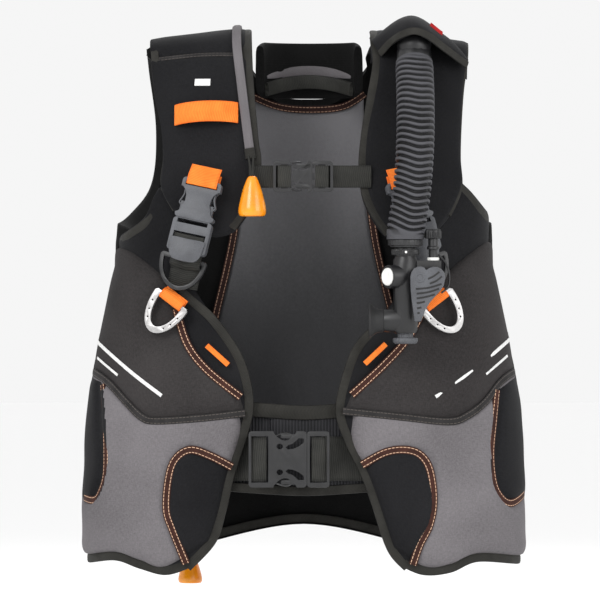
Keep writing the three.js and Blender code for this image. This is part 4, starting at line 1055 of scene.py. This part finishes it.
# ---------------------------------------------------------------- utility loop, dump valves
# An orange loop bulges from the right shoulder panel. Beside it a grey sleeve carries two thin
# cords from the valve behind the shoulder to a soft orange knob. A second knob hangs at the hem.
dressed("utility_loop", orange_web, 0.0003,
        chart=((0.9879, -0.1507, 0.0376), (0, 0.2422, 0.9702), 0.024))
sleeve = body_tape("pull_sleeve_cloth", [(-24.3, 79.2), (-26.4, 86), (-28.2, 92), (-30.4, 100),
                                         (-30.2, 106)], 0.0105, 0.0205, grey_cloth, thick=0.0042)
settle(sleeve, "vest", ["pull_sleeve"])
tape("pull_sleeve_mouth", [(-23.9, 77.9), (-24.1, 78.8), (-24.5, 79.8)], 0.0125, 0.0203,
     binding, thick=0.0056, step=0.002)
glossy_orange = material(
    "orange_knob",
    lambda place, chart: {
        "Base Color": place.grain(40, 3).ramp((0.3, shade(238, 128, 6)),
                                              (0.75, shade(250, 160, 22))),
        "Roughness": 0.2 + 0.15 * place.grain(90, 3),
        "height": place.grain(70, 3), "depth": 0.0002},
    Coat_Weight=0.35, Coat_Roughness=0.15)


def turned(name, profile, foot, axis, finish, sides=48, flutes=0, flute=0.0):
    """A piece turned about axis from foot: profile is (radius, height) in mm. Flutes wave its rim."""
    profile = np.array(profile, float) / 1000
    axis = Vector(axis).normalized()
    first = axis.orthogonal().normalized()
    second = np.array(axis.cross(first))
    turn = np.linspace(0, 2 * math.pi, sides + 1)
    turn[-1] = 0
    wave = flute / 1000 * np.cos(flutes * turn)[:, None] * (profile[:, 0] > 0.6 * profile[:,
                                                                                          0].max())
    radius = profile[None, :, 0] + wave
    points = (np.array(foot) + radius[..., None] * (np.cos(turn)[:, None, None] * np.array(first)
              + np.sin(turn)[:, None, None] * second) + profile[None, :, 1, None] * np.array(axis))
    chart = np.stack([np.broadcast_to((turn * profile[:, 0].max())[:, None], radius.shape),
                      np.broadcast_to(distance(profile), radius.shape)], -1)
    piece = grid_piece(name, points, chart, [finish])
    close_seams()
    return smooth(piece, 38)


def rounded(profile, count=4):
    """The profile with its corners cut round."""
    p = np.array(profile, float)
    out = [p[0]]
    for a, b, c in zip(p, p[1:], p[2:]):
        cut = min(0.35 * np.linalg.norm(b - a), 0.35 * np.linalg.norm(c - b), 1.2)
        start = b + (a - b) / max(1e-9, np.linalg.norm(a - b)) * cut
        stop = b + (c - b) / max(1e-9, np.linalg.norm(c - b)) * cut
        for s in np.linspace(0, 1, count):
            out.append((1 - s) ** 2 * start + 2 * s * (1 - s) * b + s**2 * stop)
    out.append(p[-1])
    return np.array(out)


def knob(node, radius, tall, body):
    shape = [(0, 0.3), (radius * 0.22, 0), (radius * 0.36, -tall * 0.05),
             (radius * 0.5, -tall * 0.16),
             (radius * 0.66, -tall * 0.32), (radius * 0.82, -tall * 0.52),
             (radius * 0.96, -tall * 0.74),
             (radius, -tall * 0.86), (radius * 0.96, -tall * 0.94), (radius * 0.84, -tall * 0.99),
             (radius * 0.5, -tall), (0, -tall)]
    low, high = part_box(node)
    foot = ((low.x + high.x) / 2, (low.y + high.y) / 2, high.z)
    line = smooth_line(shape, 5)
    piece = turned(f"{node}_knob", line, foot, Z_AXIS, glossy_orange)
    return settle(piece, body, [node])


knob("shoulder_dump_toggle", 15.6, 45, "shoulder_pull")
knob("lower_dump_toggle", 14, 33, "lower_pull")


def thin_cord(name, start, stop, node=None):
    """A short round cord between two points."""
    line = np.linspace(start, stop, 8)
    cord = ribbon_piece(name, line, (0, -1.0, 0.02), 0.0024, 0.0011, black_web)
    if node:
        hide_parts(node)
    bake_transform(cord)
    return cord


low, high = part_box("shoulder_dump_cord")
thin_cord("shoulder_dump_cord_0", (-0.0635, high.y, high.z), (-0.0585, low.y, low.z),
          "shoulder_dump_cord")
thin_cord("shoulder_dump_cord_1", (-0.0570, high.y, high.z), (-0.0575, low.y, low.z))
low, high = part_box("lower_dump_cord")
thin_cord("lower_dump_cord_0", ((low.x + high.x) / 2, (low.y + high.y) / 2, high.z),
          ((low.x + high.x) / 2, (low.y + high.y) / 2, low.z), "lower_dump_cord")
VALVE = rounded([(0, 0), (23, 0), (23, 2.6), (20.6, 3.4), (19.6, 9.5), (18.4, 12), (15.5, 13),
                 (10, 13), (9.2, 12), (0, 12)])
for node, foot, axis in (
    ("shoulder_dump_valve", (-0.08, 0.0905, -0.066), (-0.0774, 0.9626, 0.2596)),
    ("lower_dump_valve", (-0.1315, 0.1150, -0.5424), (-0.142, 0.9899, 0.0014)),
):
    cap = turned(f"{node}_cap", VALVE, foot, axis, black_plastic, 96, 24, 0.35)
    settle(cap, "vest", [node])

# ---------------------------------------------------------------- backplate and tank band
# A black plate spreads the load of the tank. Two rubber seats and one wide band with a steel cam
# buckle hold it. The band runs behind the plate and out through its slots.
dressed("backplate", black_plastic, 0.0014, fillet=40)
rubber = material("black_rubber", moulded(shade(13, 13, 14), shade(36, 36, 37), 0.6, 0.1))
for node in ("tank_seat_upper", "tank_seat_lower"):
    dressed(node, rubber, 0.0012)
dressed("cam_buckle_frame", steel, 0.0006)
dressed("cam_buckle_lever", black_plastic, 0.0008)
low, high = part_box("tank_band")
TANK_Y, BAND_R, SLOT_X, SEAT_Y = 0.227, 0.0936, 0.048, 0.133
inner_y = low.y + 0.0008
start = 0.86
bend = np.linspace(-math.pi / 2 + start, 3 * math.pi / 2 - start, 90)
loop = np.array([(0, inner_y), (SLOT_X * 0.5, inner_y), (SLOT_X - 0.003, inner_y),
                 (SLOT_X, inner_y + 0.003),
                 (SLOT_X + 0.0006, SEAT_Y - 0.004), *zip(BAND_R * np.cos(bend),
                                                         TANK_Y + BAND_R * np.sin(bend)),
                 (-SLOT_X - 0.0006, SEAT_Y - 0.004), (-SLOT_X, inner_y + 0.003), (-SLOT_X + 0.003,
                                                                                  inner_y),
                 (-SLOT_X * 0.5, inner_y), (0, inner_y)])
loop = np.c_[loop, np.full(len(loop), (low.z + high.z) / 2)]
loop = evenly(loop, loop, 200)
ahead = np.gradient(loop, axis=0)
band = ribbon_piece("tank_band_webbing", loop, np.stack([ahead[:, 1], -ahead[:, 0],
                                                         0 * ahead[:, 0]], -1),
                    0.05, 0.0008, black_web)
settle(band, "vest", ["tank_band"])

# ---------------------------------------------------------------- inflator hose and its cover
# A corrugated rubber hose comes over the left shoulder from an elbow on the air cell. A padded
# cover, bound along its arched front edge, hides the elbow.
HOSE_ROUTE = [(49.6, 0.024, -0.024), (50, 0.0355, -0.070), (49.6, 0.0462, -0.122),
              (48, 0.0497, -0.172),
              (45.2, 0.0502, -0.217)]
YOKE_FACE = 0.0203


def off_panel(x, reach, z):
    turn, lift = body_place(x, (z / HEIGHT + 1) * 100, YOKE_FACE)
    at = on_body(turn, lift, YOKE_FACE)
    return (x / 100 * HALF_WIDTH, at[1] - reach, z)


route = smooth_line([off_panel(*p) for p in HOSE_ROUTE], 40)
route = np.concatenate([route, route[-1:] + (0, 0, -0.0062)])
RIB, HOSE_R, RIB_DEEP = 0.0070, 0.0214, 0.0034
hose_long = distance(route)[-1]
rings = int(hose_long / RIB * 12)
route = evenly(route, route, rings)
ahead = unit(np.gradient(route, axis=0))
sideways = unit(np.cross(ahead, (0, -1.0, 0)))
frontal = np.cross(sideways, ahead)
turns = np.linspace(0, 2 * math.pi, 65)
run = np.linspace(0, hose_long, rings + 1)
# Each rib dips to a rounded V at the front, a little to one side, and climbs round to the back.
WAVE_AT = [0, 0.6, 1.2, 1.57, 1.85, 2.3, 2.75, math.pi, 4.2, 5.3, 2 * math.pi]
WAVE_UP = [0.0085, 0.0070, 0.0032, 0.0006, 0.0001, 0.0030, 0.0062, 0.0052, 0.0050, 0.0070, 0.0085]
slip = np.array([np.mean(np.interp((t + np.linspace(-0.2, 0.2, 9)) % (2 * math.pi), WAVE_AT,
                                   WAVE_UP)) for t in turns])[:, None]
phase = (run[None] + slip) / RIB * 2 * math.pi
ridge = np.clip(0.62 + 0.95 * np.cos(phase), 0, 1)
fade = np.clip(np.minimum(run - 0.002, hose_long - 0.004 - run) / 0.006, 0, 1)[None]
radius = HOSE_R - RIB_DEEP * (1 - ridge) * fade - 0.0006 * (1 - fade)
points = (route[None] + radius[..., None] * (np.cos(turns)[:, None, None] * sideways[None]
          + np.sin(turns)[:, None, None] * frontal[None]))
chart = np.stack([np.broadcast_to(run, radius.shape), (radius - HOSE_R + RIB_DEEP) / RIB_DEEP], -1)


def ribbed_rubber(place, chart):
    """Soft rubber: painted shade darkens the folds, and the ribs are rubbed grey."""
    fine, cloud = place.grain(1400, 2), place.grain(40, 3)
    high = chart.part(1)
    # Painted shade: the colour darkens with depth into each fold between the ribs.
    return {
        "Base Color": (high * 0.75 + cloud * 0.35).ramp((0.1, shade(6, 6, 6)),
                                                        (0.5, shade(40, 40, 42)),
                                                         (0.95, shade(74, 74, 78))),
        "Roughness": 0.5 + 0.2 * cloud,
        "height": fine, "depth": 0.0001,
    }


hose_rubber = material("hose_rubber", ribbed_rubber, Specular_IOR_Level=0.3)
hose = grid_piece("inflator_hose_corrugated", points, chart, [hose_rubber])
in_edit(lambda: bpy.ops.mesh.remove_doubles(threshold=1e-6),
        lambda: bpy.ops.mesh.select_all(action="DESELECT"),
        lambda: bpy.ops.mesh.select_non_manifold(),
        lambda: bpy.ops.mesh.edge_face_add(),
        lambda: bpy.ops.mesh.select_all(action="SELECT"),
        lambda: bpy.ops.mesh.normals_make_consistent(inside=False))
smooth(hose, 50)
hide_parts("inflator_hose")
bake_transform(hose)
dressed("hose_elbow", black_plastic, 0.0008)

# The cover is a peaked strip: its arched front edge stands over the hose, its crest is higher, and
# its back edge goes down behind the shoulder. All three run from the neck side to the arm side.
ARCH = [(0.086, -0.083, -0.016), (0.0975, -0.103, -0.004), (0.109, -0.124, 0.0035),
        (0.124, -0.131, 0.0075),
        (0.140, -0.125, 0.002), (0.160, -0.103, -0.012), (0.184, -0.075, -0.0285)]
CREST = [(0.076, 0.003), (0.092, 0.016), (0.107, 0.0265), (0.121, 0.0305), (0.135, 0.0260),
         (0.152, 0.0135),
         (0.169, 0.0005), (0.186, -0.0190)]
arch = evenly(*[smooth_line(ARCH, 10)] * 2, 48)
crest = smooth_line([(x, -0.062 - 0.012 * math.sin((x - 0.076) / 0.11 * math.pi), z) for x,
                     z in CREST], 10)
crest = evenly(crest, crest, 48)
tail = crest * (1, 0, 1) + np.stack([0 * crest[:, 0], 0 * crest[:, 0] + 0.004,
                                     -0.020 - 0.3 * np.clip(crest[:, 2] + 0.01, 0, 1)], -1)
climb = np.linspace(0, math.pi / 2, 13)
front = np.stack([arch[:, None, 0] + (crest - arch)[:, None, 0] * np.sin(climb),
                  arch[:, None, 1] + (crest - arch)[:, None, 1] * (1 - np.cos(climb)),
                  arch[:, None, 2] + (crest - arch)[:, None, 2] * np.sin(climb)], -1)
rear = np.stack([crest[:, None, 0] + 0 * climb,
                 crest[:, None, 1] + (tail - crest)[:, None, 1] * np.sin(climb),
                 crest[:, None, 2] + (tail - crest)[:, None, 2] * (1 - np.cos(climb))], -1)
points = np.concatenate([front, rear[:, 1:]], 1)
points[..., 2] += 0.0010 * soft_noise(points, 30, 3) * np.sin(np.linspace(0, math.pi, 25)) ** 0.5
over, along_cover = lengths(points, 0), lengths(points, 1)
cover = grid_piece("hose_cover_padded", points, np.stack([over, along_cover], -1), [black_cloth])
face_outward()
if np.mean([f.normal.z for f in cover.data.polygons]) < 0:
    in_edit(bpy.ops.mesh.flip_normals)
shell = cover.modifiers.new("shell", "SOLIDIFY")
shell.thickness, shell.offset = 0.0035, -1
apply_all(cover)
settle(smooth(cover, 60), "vest", ["hose_cover"])
lip = arch + (0, -0.0006, 0.0032)
edge_binding = ribbon_piece("hose_cover_binding", lip, (0, -0.96, 0.28), 0.0085, 0.0016,
                            binding)
settle(edge_binding)
red_tag = material("red_tag", grosgrain(shade(120, 14, 16), shade(196, 34, 34)),
                   Specular_IOR_Level=0.2)
tag_line = points[27:34, 8] + (0, -0.0012, 0.0008)
tag = ribbon_piece("hose_cover_tag", tag_line, (0, -0.8, 0.6), 0.0062, 0.0008, red_tag)
settle(tag)

# ---------------------------------------------------------------- inflator
# The power inflator hangs from the hose: a ribbed clamp, a valve body with a white inflate button
# on the front, a flared mouthpiece, a grey deflate button at the foot, and a low pressure inlet.
TOP = (0.113, -0.174, -0.223)
INFLATOR = "inflator"
FORWARD, RIGHT, DOWN = (0, -1, 0), (-1, 0, 0), (0, 0, -1)
settle(turned("hose_clamp_ring", rounded([(0, -9), (16.8, -9), (17, -7.2), (19.4, -7), (19.5, -0.4),
                                          (16.4, 0),
               (16, 1.5), (0, 1.5)]), TOP, Z_AXIS, buckle_plastic, 96, 30, 0.25),
       INFLATOR, ["hose_clamp"])
dressed("inflator_body", black_plastic, 0.0010, fillet=35)
settle(turned("inflator_knurled_ring", rounded([(12.5, -18), (15.3, -17.8), (15.6, -14.5),
                                                (15.3, -11.2),
               (12.5, -11), (12.5, -18)]), TOP, Z_AXIS, black_plastic, 144, 36, 0.3),
       INFLATOR)
settle(turned("mouthpiece_bell", smooth_line([(8.6, 4), (8.7, 0.2), (12.7, 0), (13.2, 4), (14.4, 8),
                                              (16.6, 11.6),
               (19, 14.6), (19.4, 16), (18.4, 16.6), (15.6, 14.6), (12, 11.5), (9.4, 8), (8.6, 4)],
               5),
               (0.0887, -0.174, -0.314), RIGHT, rubber),
       INFLATOR, ["mouthpiece"])
white_plastic = material("white_plastic", moulded(shade(222, 222, 218), shade(244, 244, 242), 0.35,
                                                  0.1))
OUTWARD = (-0.8192, -0.5736, 0)
button_low, button_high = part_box("inflate_button")
settle(turned("knurled_ring_dot", [(0, -0.2), (1.3, -0.2), (1.3, 0.5), (0, 0.5)], (0.1135, -0.1895,
                                                                                   -0.2375),
             FORWARD, white_plastic, 16),
       INFLATOR)
settle(turned("inflate_button_cap", rounded([(0, -3), (9.9, -3), (9.9, 5.6), (8.4, 7), (6.2, 6.6),
                                             (0, 6.2)]),
                button_low.lerp(button_high, 0.5) - Vector(OUTWARD) * 0.002,
                OUTWARD, white_plastic),
       "inflate_button_body", ["inflate_button"])
settle(turned("deflate_button_cap", rounded([(0, -2.1), (8.5, -2.1), (8.5, 5.1), (13.6, 5.1),
                                             (14, 9), (11.4, 11.8),
                 (8, 11.8), (7.4, 11), (0, 11)]), (0.113, -0.174, -0.328), DOWN, grey_plastic, 96,
                 20, 0.3),
       "deflate_button_body", ["deflate_button"])
dressed("inflator_side_plate", grey_plastic, 0.0016, fillet=40)
settle(turned("side_plate_ring", rounded([(3.4, -1), (5.6, -1), (5.6, 0.9), (3.4, 0.9), (3.4, -1)]),
              (0.1289, -0.197, -0.2660), FORWARD, grey_plastic, 40),
       INFLATOR)
GRILLE = [((124.4, -278.6), (139, -277.2), (152.9, -273)), ((125.2, -283.9), (138, -282.2),
                                                            (150, -278.4)),
          ((125.2, -289.1), (135, -287.6), (145.4, -284.7)), ((125.2, -294.4), (129, -294),
                                                              (134.4, -292.6)),
          ((125.6, -300), (128, -299.8), (130.4, -299.2)), ((126, -305.6), (127.4, -305.4),
                                                            (128.6, -305.2)),
          ((137.9, -267.4), (144, -264.4), (150.4, -259.6)), ((139.9, -272.6), (147, -269.6),
                                                              (153.2, -264.6))]
for k, slot_line in enumerate(GRILLE):
    line = smooth_line([(x / 1000, z / 1000) for x, z in slot_line], 5)
    line = np.stack([line[:, 0], 0 * line[:, 0] - 0.1968, line[:, 1]], -1)
    groove = ribbon_piece(f"side_plate_groove_{k}", line, (0, -1.0, 0.01), 0.0023, 0.0006,
                          black_plastic)
    settle(groove, INFLATOR)
lanyard_line = smooth_line([(0.150, -0.172, -0.2400), (0.158, -0.174, -0.2500),
                            (0.1618, -0.176, -0.2620),
                            (0.1605, -0.178, -0.2760), (0.1530, -0.1805, -0.2830)], 8)
lanyard = ribbon_piece("coupler_lanyard", lanyard_line, (0.05, -1.0, 0), 0.0022,
                       0.0011, black_plastic)
settle(lanyard, INFLATOR)
INLET = (0.144, -0.174, -0.2377)
settle(turned("quick_coupler_stem", rounded([(0, -9), (6, -9), (6, -6.2), (5, -6), (5, 3), (7, 3.1),
                                             (7, 6), (5.6, 7),
              (5.6, 16), (0, 16)]), INLET, Z_AXIS, buckle_plastic),
       INFLATOR, ["quick_coupler"])
settle(turned("quick_coupler_cap", rounded([(0, 15), (8.4, 15.2), (9, 17), (9, 23), (7.6, 26),
                                            (5, 26), (4.6, 24), (0, 24)]),
             INLET, Z_AXIS, black_plastic, 120, 24, 0.4),
       INFLATOR)
settle(turned("quick_coupler_washer", rounded([(5, -9.2), (6.7, -9.2), (6.7, -5.8), (5, -5.8),
                                               (5, -9.2)]), INLET,
                Z_AXIS, white_plastic),
       INFLATOR)
